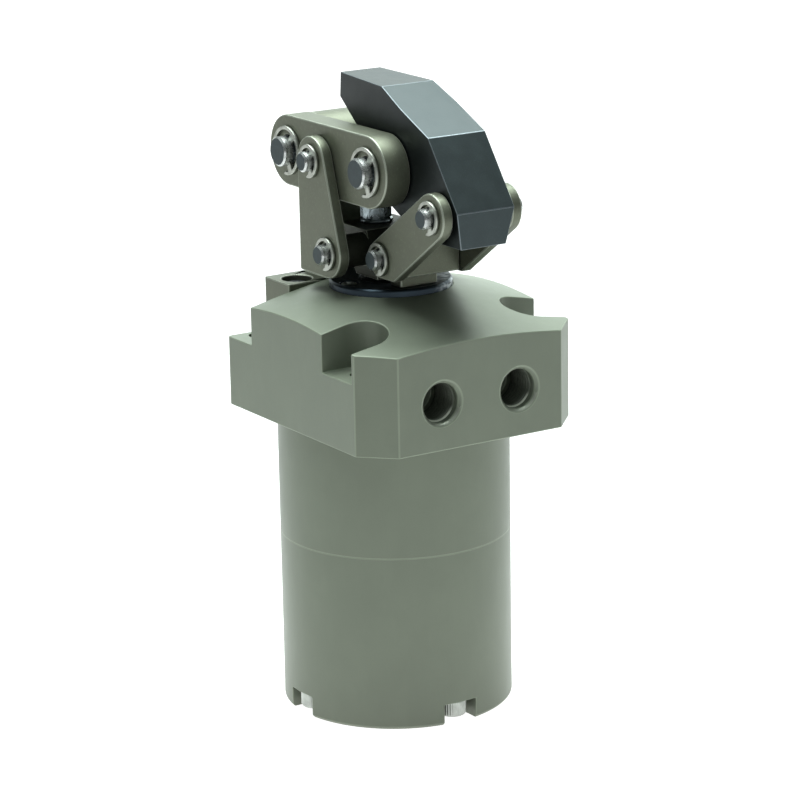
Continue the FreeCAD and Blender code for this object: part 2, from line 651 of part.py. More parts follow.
def make_cap_screw(label, head_dia, head_height, shank_dia, length, socket):
    """A socket cap screw that stands on the origin, its head up."""
    body = new_body(label)
    head, shank = half(head_dia), half(shank_dia)
    section = [corner(ZERO, -length), corner(shank - HEAD_BREAK, -length),
               corner(shank, -length + HEAD_BREAK), corner(shank, ZERO), corner(head, ZERO),
               corner(head, head_height - HEAD_BREAK), corner(head - HEAD_BREAK, head_height),
               corner(ZERO, head_height)]
    turn(body, new_sketch(body, "XZ_Plane", [section]))
    pocket(body, new_sketch(body, "XY_Plane", [hexagon(socket)], offset=head_height),
           half(head_height))
    return body


HEAD_BREAK = 0.4


def group(label, shape, places):
    """Copies of one solid, written out as one node."""
    copies = []
    for placement in places:
        copy = shape.copy()
        copy.Placement = placement.multiply(shape.Placement)
        copies.append(copy)
    made = DOC.addObject("Part::Feature", label)
    made.Shape = Part.makeCompound(copies)
    return keep(made, label)


def at(x, y, z, turned=None):
    return FreeCAD.Placement(FreeCAD.Vector(number(x), number(y), number(z)),
                             turned or FreeCAD.Rotation())


def make_screws():
    flip = FreeCAD.Rotation(FreeCAD.Vector(1, 0, 0), 180)
    m5, m3 = (S.m5_head, S.m5_head_height, S.m5_dia), (S.m3_head, S.m3_head_height, S.m3_dia)
    barrel = make_cap_screw("barrel_screw", *m5, BARREL_SCREW, S.m5_socket)
    tower = make_cap_screw("tower_screw", *m5, S.tower_screw_length, S.m5_socket)
    gland = make_cap_screw("gland_screw", *m3, S.gland_screw_length, S.m3_socket)
    lug = make_cap_screw("lug_screw", *m3, S.lug_screw_length, S.m3_socket)
    DOC.recompute()
    seat, reach = number(-S.base_depth + S.notch_depth), number(SCREW_CIRCLE)
    spots = [at(reach * math.cos(k * math.pi / 2), reach * math.sin(k * math.pi / 2), seat, flip)
             for k in range(4)]
    group("barrel_screws", barrel.Shape, spots)
    group("tower_screws", tower.Shape, [at(x, S.foot_screw_y, S.foot_top - S.counterbore_depth)
                                        for x in (-S.foot_screw_x, S.foot_screw_x)])
    group("gland_screws", gland.Shape, [at(x, y, S.gland_top - S.gland_sink)
                                        for x, y, radius in gland_holes(ZERO)])
    group("lug_screws", lug.Shape, [at(x, y, S.gland_seat + S.gland_sink, flip)
                                    for x, y, radius in lug_holes(ZERO)])


# The rod and what rides on it.
UPPER_FLOOR = -S.seam_depth + half(S.divider_height)
UPPER_PISTON = UPPER_FLOOR + S.piston_rest + S.ring_nut_height
LOWER_PISTON = -S.base_depth + S.floor_wall + S.piston_rest
TAIL_NUT = 4.0
TAIL_NUT_DIA = 14.0


def make_rod():
    body = new_body("piston_rod")
    rod, waist, tail = half(S.rod_dia), half(S.rod_waist), half(S.rod_tail)
    shoulder = UPPER_PISTON + S.upper_piston_height
    step = LOWER_PISTON + S.lower_piston_height
    tip = S.head_bottom + STUD_LENGTH
    section = [corner(ZERO, LOWER_PISTON), corner(tail, LOWER_PISTON), corner(tail, step),
               corner(waist, step), corner(waist, shoulder), corner(rod, shoulder),
               corner(rod, S.head_bottom), corner(waist - 1, S.head_bottom),
               corner(waist - 1, tip), corner(ZERO, tip)]
    turn(body, new_sketch(body, "XZ_Plane", [section]))
    return keep(body)


STUD_LENGTH = 4.2


def make_piston(label, inner, bottom, height, nut_seat=None):
    """A piston disc with a seal groove, and a recess under it for the tail nut."""
    body = new_body(label)
    outer, middle = BORE - S.piston_fit, bottom + half(height)
    floor, seal = outer - S.seal_depth, half(S.seal_width)
    under = [corner(inner, bottom)]
    if nut_seat:
        radius, rise = nut_seat
        under = [corner(inner, bottom + rise), corner(radius, bottom + rise), corner(radius, bottom)]
    section = under + [corner(outer - HEAD_BREAK, bottom), corner(outer, bottom + HEAD_BREAK),
                       corner(outer, middle - seal), corner(floor, middle - seal),
                       corner(floor, middle + seal), corner(outer, middle + seal),
                       corner(outer, bottom + height - HEAD_BREAK),
                       corner(outer - HEAD_BREAK, bottom + height), corner(inner, bottom + height)]
    turn(body, new_sketch(body, "XZ_Plane", [section]))
    keep(body)
    slack = S.seat_fit
    ring_body(label + "_seal", floor + slack, outer, middle - seal + slack, middle + seal - slack)


def make_pistons():
    waist, tail = half(S.rod_waist) + S.seat_fit, half(S.rod_tail) + S.seat_fit
    make_piston("upper_piston", waist, UPPER_PISTON, S.upper_piston_height)
    ring_body("ring_nut", waist, half(S.rod_dia) + 2, UPPER_PISTON - S.ring_nut_height, UPPER_PISTON)
    make_piston("lower_piston", tail, LOWER_PISTON, S.lower_piston_height,
                nut_seat=(TAIL_NUT_DIA / 2 + 1, TAIL_NUT))
    ring_body("tail_nut", tail, TAIL_NUT_DIA / 2, LOWER_PISTON, LOWER_PISTON + TAIL_NUT)


def make_rod_head():
    """The leaning block on the rod's end, with bosses that reach the tall links."""
    body = new_body("rod_head")
    kink = S.head_top - S.head_lean * (S.head_top - S.head_bottom) / (S.head_brow - S.head_toe)
    side = [corner(-S.head_back, S.head_bottom), corner(S.head_toe, S.head_bottom),
            corner(S.head_brow, S.head_top), corner(-S.head_back + S.head_lean, S.head_top),
            corner(-S.head_back, kink)]
    pad(body, new_sketch(body, "YZ_Plane", [side]), S.head_half * 2, both_ways=True)
    reach = S.fork_gap + S.fork_ear
    boss = [(ZERO, S.lower_pins_z, half(S.boss_dia))]
    pad(body, new_sketch(body, "YZ_Plane", circles=boss), reach * 2, both_ways=True)
    hole = [(ZERO, S.lower_pins_z, half(S.small_pin) + S.seat_fit)]
    pocket(body, new_sketch(body, "YZ_Plane", circles=hole), reach * 4, both_ways=True)
    stud = [(ZERO, ZERO, half(S.rod_waist) - 1 + S.seat_fit)]
    pocket(body, new_sketch(body, "XY_Plane", circles=stud, offset=S.head_bottom),
           STUD_LENGTH + S.seat_fit, forward=True)
    screw = [(ZERO, S.stop_place, half(S.stop_dia) + S.seat_fit)]
    pocket(body, new_sketch(body, "XY_Plane", circles=screw, offset=S.head_top), STOP_GRIP)
    return keep(body)


STOP_GRIP = 8.0


def make_stop_screw():
    """A stop screw with its washer and lock nut on top of the rod head."""
    top = S.head_top + S.washer_height
    radius = half(S.stop_dia)
    body = new_body("stop_screw")
    bottom = S.head_top - STOP_GRIP
    section = [corner(ZERO, bottom), corner(radius, bottom), corner(radius, S.stop_top - HEAD_BREAK),
               corner(radius - HEAD_BREAK, S.stop_top), corner(ZERO, S.stop_top)]
    turn(body, new_sketch(body, "XZ_Plane", [section]))
    bind(body, "Placement.Base.y", S.stop_place)
    keep(body)
    washer = ring_body("nut_washer", radius + S.seat_fit, half(S.washer_dia), S.head_top, top)
    bind(washer, "Placement.Base.y", S.stop_place)
    body = new_body("lock_nut")
    sketch = new_sketch(body, "XY_Plane", [hexagon(S.nut_width)],
                        [(ZERO, ZERO, radius + S.seat_fit)], offset=top)
    pad(body, sketch, S.nut_height)
    bind(body, "Placement.Base.y", S.stop_place)
    keep(body)


# The links and the arm.
TOWER_PIN = (S.tower_y, S.upper_pins_z)
DRIVE_PIN = (S.drive_y, S.upper_pins_z)
ARM_PIN = (S.arm_pin_y, S.upper_pins_z)
ROD_PIN = (ZERO, S.lower_pins_z)
LUG_PIN = (S.lug_pin_y, S.lower_pins_z)
TAIL_PIN = (S.tail_pin_y, S.tail_pin_z)
FORK_SIDE = S.fork_gap + S.fork_ear
TALL_INNER = FORK_SIDE + S.side_gap
TIE_INNER = S.arm_half + S.side_gap


def make_fork():
    """Two thick ears round the tower and the arm, joined by a web at the drive pin."""
    body = new_body("fork_link")
    web = box(S.web_back, S.web_front, S.web_bottom, S.web_top)
    pad(body, new_sketch(body, "YZ_Plane", [web]), (S.fork_gap + half(S.fork_ear)) * 2, both_ways=True)
    radius = half(S.fork_height)
    ear = [eye(*ARM_PIN, radius), eye(*TOWER_PIN, radius)]
    for offset in (S.fork_gap, -FORK_SIDE):
        pad(body, new_sketch(body, "YZ_Plane", [ear], offset=offset), S.fork_ear)
    holes = [(*TOWER_PIN, half(S.big_pin) + S.running_fit), (*ARM_PIN, half(S.big_pin) + S.seat_fit),
             (*DRIVE_PIN, half(S.small_pin) + S.drive_slack)]
    pocket(body, new_sketch(body, "YZ_Plane", circles=holes), FORK_SIDE * 4, both_ways=True)
    return keep(body)


def make_plates(label, outline, holes, inner):
    """The near plate, at -X, and the far plate, at +X."""
    for side, offset in (("near_", -inner - S.plate), ("far_", inner)):
        body = new_body(side + label)
        pad(body, new_sketch(body, "YZ_Plane", [outline], holes, offset=offset), S.plate)
        keep(body)


def make_links():
    radius = half(S.tall_width)
    outline = [corner(S.tall_heel, S.lower_pins_z - radius), eye(*DRIVE_PIN, radius),
               eye(*ROD_PIN, radius)]
    pin = half(S.small_pin)
    make_plates("tall_link", outline, [(*ROD_PIN, pin + S.running_fit), (*DRIVE_PIN, pin + S.seat_fit)],
                TALL_INNER)
    outline = [corner(S.tie_heel_y, S.tie_heel_z), eye(*LUG_PIN, half(S.tie_lower_eye)),
               eye(*TAIL_PIN, half(S.tie_upper_eye))]
    make_plates("tie_link", outline, [(*LUG_PIN, pin + S.running_fit), (*TAIL_PIN, pin + S.seat_fit)],
                TIE_INNER)


def make_arm():
    body = new_body("clamp_arm")
    side = [corner(S.nose_y, S.nose_bottom), corner(S.nose_y - S.nose_lean, S.nose_top),
            corner(S.first_ridge_y, S.first_ridge_z), corner(S.second_ridge_y, S.second_ridge_z),
            corner(S.third_ridge_y, S.third_ridge_z), corner(S.tail_y, S.tail_z),
            corner(S.belly_y, S.tail_z), eye(*ARM_PIN, half(S.arm_hub)),
            corner(S.throat_y, S.throat_z)]
    pad(body, new_sketch(body, "YZ_Plane", [side]), S.arm_half * 2, both_ways=True)
    far = S.nose_y + 5
    slope = (S.arm_half - S.nose_half) / (S.nose_y - S.taper_start)
    end = S.arm_half - slope * (far - S.taper_start)
    right = [corner(S.arm_half, S.taper_start), corner(S.arm_half * 2, S.taper_start),
             corner(S.arm_half * 2, far), corner(end, far)]
    left = [corner(-S.arm_half, S.taper_start), corner(-end, far), corner(-S.arm_half * 2, far),
            corner(-S.arm_half * 2, S.taper_start)]
    pocket(body, new_sketch(body, "XY_Plane", [right, left]), S.nose_top * 2, forward=True)
    low, top, wide = S.tail_z - 5, S.third_ridge_z, S.arm_half * 2
    slope = (S.arm_half - S.tail_half) / (S.third_ridge_z - S.tail_z)
    end = S.tail_half - slope * 5
    right = [corner(end, low), corner(wide, low), corner(wide, top), corner(S.arm_half, top)]
    left = [corner(-end, low), corner(-S.arm_half, top), corner(-wide, top), corner(-wide, low)]
    pocket(body, new_sketch(body, "XZ_Plane", [right, left], offset=-S.third_ridge_y + 5),
           S.nose_y - S.third_ridge_y + 10)
    holes = [(*ARM_PIN, half(S.big_pin) + S.running_fit),
             (*TAIL_PIN, half(S.small_pin) + S.tail_slack)]
    pocket(body, new_sketch(body, "YZ_Plane", circles=holes), S.arm_half * 4, both_ways=True)
    return keep(body)


# Pins and their retaining rings.
def make_pin(label, place, radius, groove, ring, beside, end):
    """A pin along X with a grooved end each side, and its two retaining rings."""
    start = beside + S.ring_gap
    stop = start + S.ring_height
    tip = stop + end
    body = new_body(label)
    section = [corner(-tip, ZERO), corner(tip, ZERO), corner(tip, radius - S.pin_break),
               corner(tip - S.pin_break, radius), corner(stop, radius), corner(stop, groove),
               corner(start, groove), corner(start, radius), corner(-start, radius),
               corner(-start, groove), corner(-stop, groove), corner(-stop, radius),
               corner(-tip + S.pin_break, radius), corner(-tip, radius - S.pin_break)]
    turn(body, new_sketch(body, "XY_Plane", [section]), axis="H_Axis")
    bind(body, "Placement.Base.y", place[0])
    bind(body, "Placement.Base.z", place[1])
    keep(body)
    clip = make_clip(label + "_clip", start + S.seat_fit, groove + S.seat_fit, ring)
    DOC.recompute()
    spot = at(ZERO, *place)
    mirrored = clip.Shape.mirror(FreeCAD.Vector(), FreeCAD.Vector(1, 0, 0))
    made = DOC.addObject("Part::Feature", label + "_rings")
    copies = []
    for shape in (clip.Shape.copy(), mirrored):
        shape.Placement = spot.multiply(shape.Placement)
        copies.append(shape)
    made.Shape = Part.makeCompound(copies)
    keep(made, label + "_rings")


def make_clip(label, start, groove, ring):
    """A retaining ring: a rim with three teeth in the groove, open towards the links' feet."""
    body = new_body(label)
    inner, height = ring - S.ring_rim, S.ring_height - S.seat_fit * 2
    pad(body, new_sketch(body, "YZ_Plane", circles=[(ZERO, ZERO, ring), (ZERO, ZERO, inner)],
                         offset=start), height)
    teeth = []
    for angle in (RING_MOUTH + 62, RING_MOUTH + 180, RING_MOUTH - 62):
        along, across = math.cos(math.radians(angle)), math.sin(math.radians(angle))
        teeth.append([corner(reach * along - side * across, reach * across + side * along)
                      for reach, side in ((groove - 0.3, -half(S.ring_tooth)),
                                          (inner + 0.3, -half(S.ring_tooth)),
                                          (inner + 0.3, half(S.ring_tooth)),
                                          (groove - 0.3, half(S.ring_tooth)))])
    pad(body, new_sketch(body, "YZ_Plane", teeth, offset=start), height)
    along, across = math.cos(math.radians(RING_MOUTH)), math.sin(math.radians(RING_MOUTH))
    mouth = [eye(ZERO, ZERO, groove)] + [
        corner(ring * 2 * along - side * across, ring * 2 * across + side * along)
        for side in (-groove, groove)]
    pocket(body, new_sketch(body, "YZ_Plane", [mouth], offset=start), height, forward=True)
    return body


RING_MOUTH = -50.0


def make_pins():
    tall, tie = TALL_INNER + S.plate, TIE_INNER + S.plate
    big = (half(S.big_pin), half(S.big_groove), half(S.big_ring))
    small = (half(S.small_pin), half(S.small_groove), half(S.small_ring))
    make_pin("tower_pin", TOWER_PIN, *big, FORK_SIDE, S.big_pin_end)
    make_pin("arm_pin", ARM_PIN, *big, FORK_SIDE, S.big_pin_end)
    make_pin("drive_pin", DRIVE_PIN, *small, tall, S.small_pin_end)
    make_pin("rod_pin", ROD_PIN, *small, tall, S.small_pin_end)
    make_pin("lug_pin", LUG_PIN, *small, tie, S.small_pin_end)
    make_pin("tail_pin", TAIL_PIN, *small, tie, S.small_pin_end)


def check_document():
    """Stop on any object that failed, before anything is written."""
    DOC.recompute()
    for thing in DOC.Objects:
        if "Invalid" in thing.State or "Error" in thing.State:
            raise RuntimeError("%s failed: %s" % (thing.Label, thing.State))
    for piece in PIECES:
        if piece.Shape.isNull() or not piece.Shape.isValid() or not piece.Shape.Solids:
            raise RuntimeError("%s has no valid solid" % piece.Label)


def write_pieces():
    os.makedirs("parts", exist_ok=True)
    for piece in PIECES:
        piece.Shape.exportStep(os.path.join("parts", piece.Label + ".step"))
        size = piece.Shape.BoundBox
        print("%-18s %d solids %9.1f mm3  X %.1f..%.1f  Y %.1f..%.1f  Z %.1f..%.1f"
              % (piece.Label, len(piece.Shape.Solids), piece.Shape.Volume, size.XMin, size.XMax,
                 size.YMin, size.YMax, size.ZMin, size.ZMax))


def main():
    make_flange()
    make_lower_barrel()
    make_divider()
    make_gland()
    make_tower()
    make_lug()
    make_screws()
    make_rod()
    make_pistons()
    make_rod_head()
    make_stop_screw()
    make_fork()
    make_links()
    make_arm()
    make_pins()
    check_document()
    write_pieces()


main()
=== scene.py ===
"""Finishes the pieces of a pneumatic link clamp and lights them for a studio picture."""

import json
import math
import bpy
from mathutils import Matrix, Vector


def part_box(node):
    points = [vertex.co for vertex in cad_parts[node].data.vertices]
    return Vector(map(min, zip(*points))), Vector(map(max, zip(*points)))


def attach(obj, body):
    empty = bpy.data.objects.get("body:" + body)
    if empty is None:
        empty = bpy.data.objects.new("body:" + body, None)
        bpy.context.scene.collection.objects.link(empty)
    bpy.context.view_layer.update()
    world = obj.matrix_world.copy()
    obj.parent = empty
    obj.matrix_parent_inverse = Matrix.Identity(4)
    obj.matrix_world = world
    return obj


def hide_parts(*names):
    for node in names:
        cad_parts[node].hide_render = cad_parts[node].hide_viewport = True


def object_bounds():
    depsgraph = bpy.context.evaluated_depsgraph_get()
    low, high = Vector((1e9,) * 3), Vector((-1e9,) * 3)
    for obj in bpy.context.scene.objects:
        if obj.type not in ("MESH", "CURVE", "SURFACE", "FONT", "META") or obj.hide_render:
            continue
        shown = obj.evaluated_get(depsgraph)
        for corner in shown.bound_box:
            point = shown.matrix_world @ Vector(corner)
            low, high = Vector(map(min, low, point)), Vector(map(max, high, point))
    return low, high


bl_info = {
    "name": "Link Clamp Finish",
    "version": (1, 0, 0),
    "blender": (4, 5, 0),
    "location": "3D View > Sidebar > Link Clamp",
    "description": "Rounds, threads and finishes the pieces of a pneumatic link clamp",
    "category": "Object",
}

from collections import namedtuple

import bmesh
import bpy
from bpy.props import FloatProperty, FloatVectorProperty, IntProperty, PointerProperty
from mathutils import Euler, Matrix, Vector

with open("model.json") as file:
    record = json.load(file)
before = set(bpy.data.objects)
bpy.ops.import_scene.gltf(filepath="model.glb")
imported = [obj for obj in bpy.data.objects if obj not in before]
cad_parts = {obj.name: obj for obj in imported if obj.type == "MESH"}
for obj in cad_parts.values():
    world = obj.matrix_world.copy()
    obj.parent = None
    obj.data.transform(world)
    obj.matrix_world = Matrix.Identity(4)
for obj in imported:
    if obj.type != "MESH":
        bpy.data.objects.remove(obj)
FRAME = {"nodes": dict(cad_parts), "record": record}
SOLID_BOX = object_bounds()

# Lengths are in metres, except where a name ends in _mm. Colours are in linear light.
MM = 0.001
WHITE = (1.0, 1.0, 1.0, 1.0)
PORTS = ("port_clamp", "port_unclamp")

# How the facets of a solid are joined to faces, and which edges are rounded or kept sharp.
WELD_GAP = 0.002 * MM
FLAT_ANGLE = math.radians(0.6)
ROUND_ANGLE = math.radians(32.0)
ARM_ROUND_ANGLE = math.radians(15.0)
CREASE_ANGLE = math.radians(28.0)

# The lamps: name, place, the point they face, width and height, and the setting of their power.
SOFTBOXES = (
    ("overhead_softbox", (0.08, 0.16, 0.75), (0.0, 0.0, 0.05), (0.8, 0.6), "key_power"),
    ("left_softbox", (-0.85, 0.25, 0.25), (0.0, 0.0, 0.0), (0.35, 0.8), "fill_power"),
    ("port_softbox", (-0.20, -1.00, 0.30), (0.0, 0.0, 0.0), (0.5, 0.8), "port_power"),
)
# Distances from the clamp's axis over which the floor turns grey, and white again.
FLOOR_GREYS = (0.06, 0.26)
FLOOR_WHITENS = (0.45, 1.1)
# The backdrop's middle stands this far round from the camera's line, in radians. The other two
# pairs say where the backdrop and the ceiling begin and are full, as the cosine of the angle.
BACKDROP_TURN = 0.26
BACKDROP_REACH = (0.50, 1.0)
CEILING_REACH = (0.35, 0.95)

# Cap screws by their thread: the head's height, the shank's diameter and the socket's width.
ScrewSize = namedtuple("ScrewSize", "head_height shank socket")
M5 = ScrewSize(head_height=5.0 * MM, shank=5.0 * MM, socket=4.0 * MM)
M3 = ScrewSize(head_height=3.0 * MM, shank=3.0 * MM, socket=2.5 * MM)


# Shader trees are written as sums. A Value is one socket of such a tree.
class Value:
    """A number or colour that a finish works out over a surface."""

    def __init__(self, finish, socket):
        self.finish = finish
        self.socket = socket

    def maths(self, operation, *values):
        """Add a Math node that works on some values."""
        return self.finish.node("ShaderNodeMath", {"operation": operation}, values)

    def __add__(self, other):
        return self.maths("ADD", self, other)

    def __sub__(self, other):
        return self.maths("SUBTRACT", self, other)

    def __rsub__(self, other):
        return self.maths("SUBTRACT", other, self)

    def __mul__(self, other):
        return self.maths("MULTIPLY", self, other)

    def __pow__(self, other):
        return self.maths("POWER", self, other)

    def __rpow__(self, other):
        return self.maths("POWER", other, self)

    def __gt__(self, other):
        return self.maths("GREATER_THAN", self, other)

    def __lt__(self, other):
        return self.maths("LESS_THAN", self, other)

    def __abs__(self):
        return self.maths("ABSOLUTE", self)

    def sine(self):
        return self.maths("SINE", self)

    __radd__ = __add__
    __rmul__ = __mul__


class Finish:
    """A material and the expressions that colour, roughen and dent it, or a world's light."""

    def __init__(self, name, world=None):
        self.material = world or bpy.data.materials.new(name)
        self.material.use_nodes = True
        self.tree = self.material.node_tree
        shaders = ("BSDF_PRINCIPLED", "BACKGROUND")
        self.shader = next(n for n in self.tree.nodes if n.type in shaders)

    def node(self, kind, settings=None, sockets=(), output=0):
        """Add a node: its settings first, then the values or links of its sockets."""
        made = self.tree.nodes.new(kind)
        for name, setting in (settings or {}).items():
            setattr(made, name, setting)
        named = sockets.items() if isinstance(sockets, dict) else enumerate(sockets)
        for name, value in named:
            self.feed(made.inputs[name], value)
        return Value(self, made.outputs[output])

    def feed(self, socket, value):
        """Link a value to a socket, or set the socket to a plain number or colour."""
        if isinstance(value, Value):
            self.tree.links.new(value.socket, socket)
        else:
            socket.default_value = value

    def shade(self, **values):
        """Set or link the shader's own sockets, such as Base_Color."""
        for name, value in values.items():
            self.feed(self.shader.inputs[name.replace("_", " ")], value)

    def place(self):
        """Where a point lies on the piece, in metres."""
        return self.node("ShaderNodeTexCoord", output="Object")

    def place_mm(self):
        """How far a point lies across, along and up the piece, in millimetres."""
        return [part * (1.0 / MM) for part in self.split(self.place())]

    def off_axis(self):
        """A point's distance from the piece's upright axis, in metres."""
        across, along, _ = self.split(self.place())
        return (across ** 2.0 + along ** 2.0) ** 0.5

    def facing(self):
        """The way the piece's surface faces, across, along and up in the piece's own frame."""
        return self.split(self.node("ShaderNodeTexCoord", output="Normal"))

    def split(self, vector):
        """The three parts of a vector."""
        first = self.node("ShaderNodeSeparateXYZ", None, [vector])
        return [Value(self, part) for part in first.socket.node.outputs]

    def noise(self, size_mm, detail=3.0, stretch=(1.0, 1.0, 1.0), rough=0.5):
        """Cloudy noise from 0 to 1, whose blotches are about size_mm across."""
        place = self.node("ShaderNodeVectorMath", {"operation": "MULTIPLY"},
                          [self.place(), stretch])
        return self.node("ShaderNodeTexNoise", {"noise_dimensions": "3D", "normalize": True},
                         {"Vector": place, "Scale": 1.0 / (size_mm * MM), "Detail": detail,
                          "Roughness": rough})

    def spread(self, value, low, high):
        """Stretch the part of a value between low and high to run from 0 to 1."""
        settings = {"clamp": True, "interpolation_type": "SMOOTHSTEP"}
        return self.node("ShaderNodeMapRange", settings, [value, low, high, 0.0, 1.0])

    def blend(self, factor, first, second):
        """Mix two colours. The Mix node's colours are its inputs 6 and 7 and its output 2."""
        settings = {"data_type": "RGBA", "blend_type": "MIX"}
        return self.node("ShaderNodeMix", settings, {0: factor, 6: first, 7: second}, output=2)

    def dent(self, height, depth_mm, strength):
        """Bump the surface by a height that runs from 0 to 1."""
        self.shade(Normal=self.node("ShaderNodeBump", None, {"Strength": strength,
                                                             "Distance": depth_mm * MM,
                                                             "Height": height}))


def rgba(colour, level=1.0):
    """A colour for a socket, made brighter or darker by a factor."""
    return tuple(min(1.0, c * level) for c in colour[:3]) + (1.0,)


# Sizes and colours that a user may change.
class StageSettings(bpy.types.PropertyGroup):
    """Camera, floor and lights."""

    camera_place: FloatVectorProperty(name="Camera place", description="Where the camera stands",
                                      default=(-0.48531, -0.76656, 0.24978), subtype="TRANSLATION",
                                      unit="LENGTH")
    camera_turn: FloatVectorProperty(name="Camera turn", description="How the camera is turned",
                                     default=(1.304637, 0.017504, -0.571437), subtype="EULER")
    lens: FloatProperty(name="Lens", description="Focal length in millimetres on a 36 mm sensor",
                        default=140.5, min=20.0, unit="CAMERA")
    floor_size: FloatProperty(name="Floor size", description="Side of the floor", default=6.0,
                              unit="LENGTH")
    floor_tint: FloatVectorProperty(name="Floor tint", description="Colour of the floor",
                                    default=(0.46, 0.46, 0.46), subtype="COLOR", size=3)
    floor_glow: FloatProperty(name="Floor glow", description="Light that the floor gives of itself",
                              default=0.55, min=0.0)
    light_tint: FloatVectorProperty(name="Light tint", description="Colour of the room's light",
                                    default=(0.90, 1.0, 0.965), subtype="COLOR", size=3)
    room_light: FloatProperty(name="Room light", description="Light from the dim side of the room",
                              default=0.10, min=0.0)
    back_light: FloatProperty(name="Backdrop light", description="Light from the backdrop",
                              default=1.9, min=0.0)
    sky_light: FloatProperty(name="Ceiling light", description="Light from the ceiling",
                             default=0.55, min=0.0)
    key_power: FloatProperty(name="Overhead light", description="Power of the softbox overhead",
                             default=18.0, min=0.0, unit="POWER")
    fill_power: FloatProperty(name="Side light", description="Power of the softbox at the left",
                              default=0.05, min=0.0, unit="POWER")
    port_power: FloatProperty(name="Port light", description="Power of the softbox at the ports",
                              default=0.9, min=0.0, unit="POWER")


class CoatSettings(bpy.types.PropertyGroup):
    """The hard coat on the flange and the barrels."""

    colour: FloatVectorProperty(name="Coat", description="Colour of the hard coat",
                                default=(0.153, 0.172, 0.134), subtype="COLOR", size=3)
    # The ports' lower lips are lighter bare metal: a painted highlight where light falls into them.
    lip_highlight_colour: FloatVectorProperty(name="Port mouths", description="Colour of the ports' mouths",
                                    default=(0.30, 0.32, 0.27), subtype="COLOR", size=3)
    roughness: FloatProperty(name="Roughness", description="Roughness of the hard coat",
                             default=0.40, min=0.0, max=1.0, subtype="FACTOR")
    metal: FloatProperty(name="Metal", description="How metallic the hard coat looks",
                         default=0.22, min=0.0, max=1.0, subtype="FACTOR")
    grain: FloatProperty(name="Grain", description="Size of the coat's grain in millimetres",
                         default=0.5, min=0.05)
    edge_round: FloatProperty(name="Edge round", description="Rounding of the flange's edges",
                              default=0.0003, min=0.0, unit="LENGTH")
    turning_pitch: FloatProperty(name="Turning pitch", description="Spacing of the turning marks",
                                 default=0.0004, min=0.00005, unit="LENGTH")


class LinkSettings(bpy.types.PropertyGroup):
    """The oxide finish on the brackets and the links."""

    colour: FloatVectorProperty(name="Oxide", description="Colour of the links",
                                default=(0.115, 0.123, 0.092), subtype="COLOR", size=3)
    # Lighter edge colour: rubbed wear on the rounded edges, with a painted highlight along them.
    edge_wear_highlight_colour: FloatVectorProperty(name="Edges", description="Colour where the edges are rubbed",
                                     default=(0.26, 0.275, 0.23), subtype="COLOR", size=3)
    roughness: FloatProperty(name="Roughness", description="Roughness of the links",
                             default=0.45, min=0.0, max=1.0, subtype="FACTOR")
    edge_round: FloatProperty(name="Edge round", description="Rounding of the links' edges",
                              default=0.00045, min=0.0, unit="LENGTH")


class ArmSettings(bpy.types.PropertyGroup):
    """The black finish on the clamp arm."""

    colour: FloatVectorProperty(name="Black oxide", description="Colour of the arm",
                                default=(0.036, 0.046, 0.049), subtype="COLOR", size=3)
    # Lighter edge colour: rubbed wear on the rounded edges, with a painted highlight along them.
    edge_wear_highlight_colour: FloatVectorProperty(name="Edges", description="Colour where the edges are rubbed",
                                     default=(0.13, 0.15, 0.165), subtype="COLOR", size=3)
    roughness: FloatProperty(name="Roughness", description="Roughness of the arm",
                             default=0.39, min=0.0, max=1.0, subtype="FACTOR")
    edge_round: FloatProperty(name="Edge round", description="Rounding of the arm's edges",
                              default=0.00022, min=0.0, unit="LENGTH")


class PinSettings(bpy.types.PropertyGroup):
    """Pins, retaining rings and screws."""

    steel: FloatVectorProperty(name="Ground steel", description="Colour of the pins' sides",
                               default=(0.50, 0.51, 0.51), subtype="COLOR", size=3)
    end_face: FloatVectorProperty(name="End faces", description="Colour of the pins' end faces",
                                  default=(0.028, 0.038, 0.042), subtype="COLOR", size=3)
    ring_steel: FloatVectorProperty(name="Spring steel", description="Colour of the rings",
                                    default=(0.36, 0.37, 0.335), subtype="COLOR", size=3)
    ring_round: FloatProperty(name="Ring round", description="Rounding of the rings' edges",
                              default=0.0002, min=0.0, unit="LENGTH")
    nickel: FloatVectorProperty(name="Nickel", description="Colour of the bright screws",
                                default=(0.43, 0.45, 0.42), subtype="COLOR", size=3)
    black: FloatVectorProperty(name="Black oxide", description="Colour of the tower's screws",
                               default=(0.05, 0.055, 0.06), subtype="COLOR", size=3)
    knurls: IntProperty(name="Knurls", description="Knurls round a cap screw's head", default=36,
                        min=8)
    knurl_depth: FloatProperty(name="Knurl depth", description="Depth of the knurls",
                               default=0.00018, min=0.0, unit="LENGTH")


class StopSettings(bpy.types.PropertyGroup):
    """The stop screw, its lock nut and its washer."""

    zinc: FloatVectorProperty(name="Zinc", description="Colour of the stop screw and its nut",
                              default=(0.36, 0.42, 0.45), subtype="COLOR", size=3)
    washer_round: FloatProperty(name="Washer round", description="Rounding of the washer's edges",
                                default=0.00015, min=0.0, unit="LENGTH")


class ThreadSettings(bpy.types.PropertyGroup):
    """The pipe thread in the air ports."""

    colour: FloatVectorProperty(name="Thread", description="Colour of the thread inside a port",
                                default=(0.10, 0.11, 0.09), subtype="COLOR", size=3)
    # The lighter colour at a port's lower lip is a painted highlight.
    thread_lip_highlight_colour: FloatVectorProperty(name="Bare thread", description="Colour at a port's lower lip",
                                     default=(0.75, 0.78, 0.68), subtype="COLOR", size=3)
    pitch: FloatProperty(name="Pitch", description="Pitch of the pipe thread", default=0.001337,
                         min=0.0003, unit="LENGTH")
    ridge: FloatProperty(name="Ridge", description="How far the ridge stands into the port",
                         default=0.00045, min=0.0, unit="LENGTH")
    steps: IntProperty(name="Steps", description="Steps in each turn of the thread", default=48,
                       min=12)


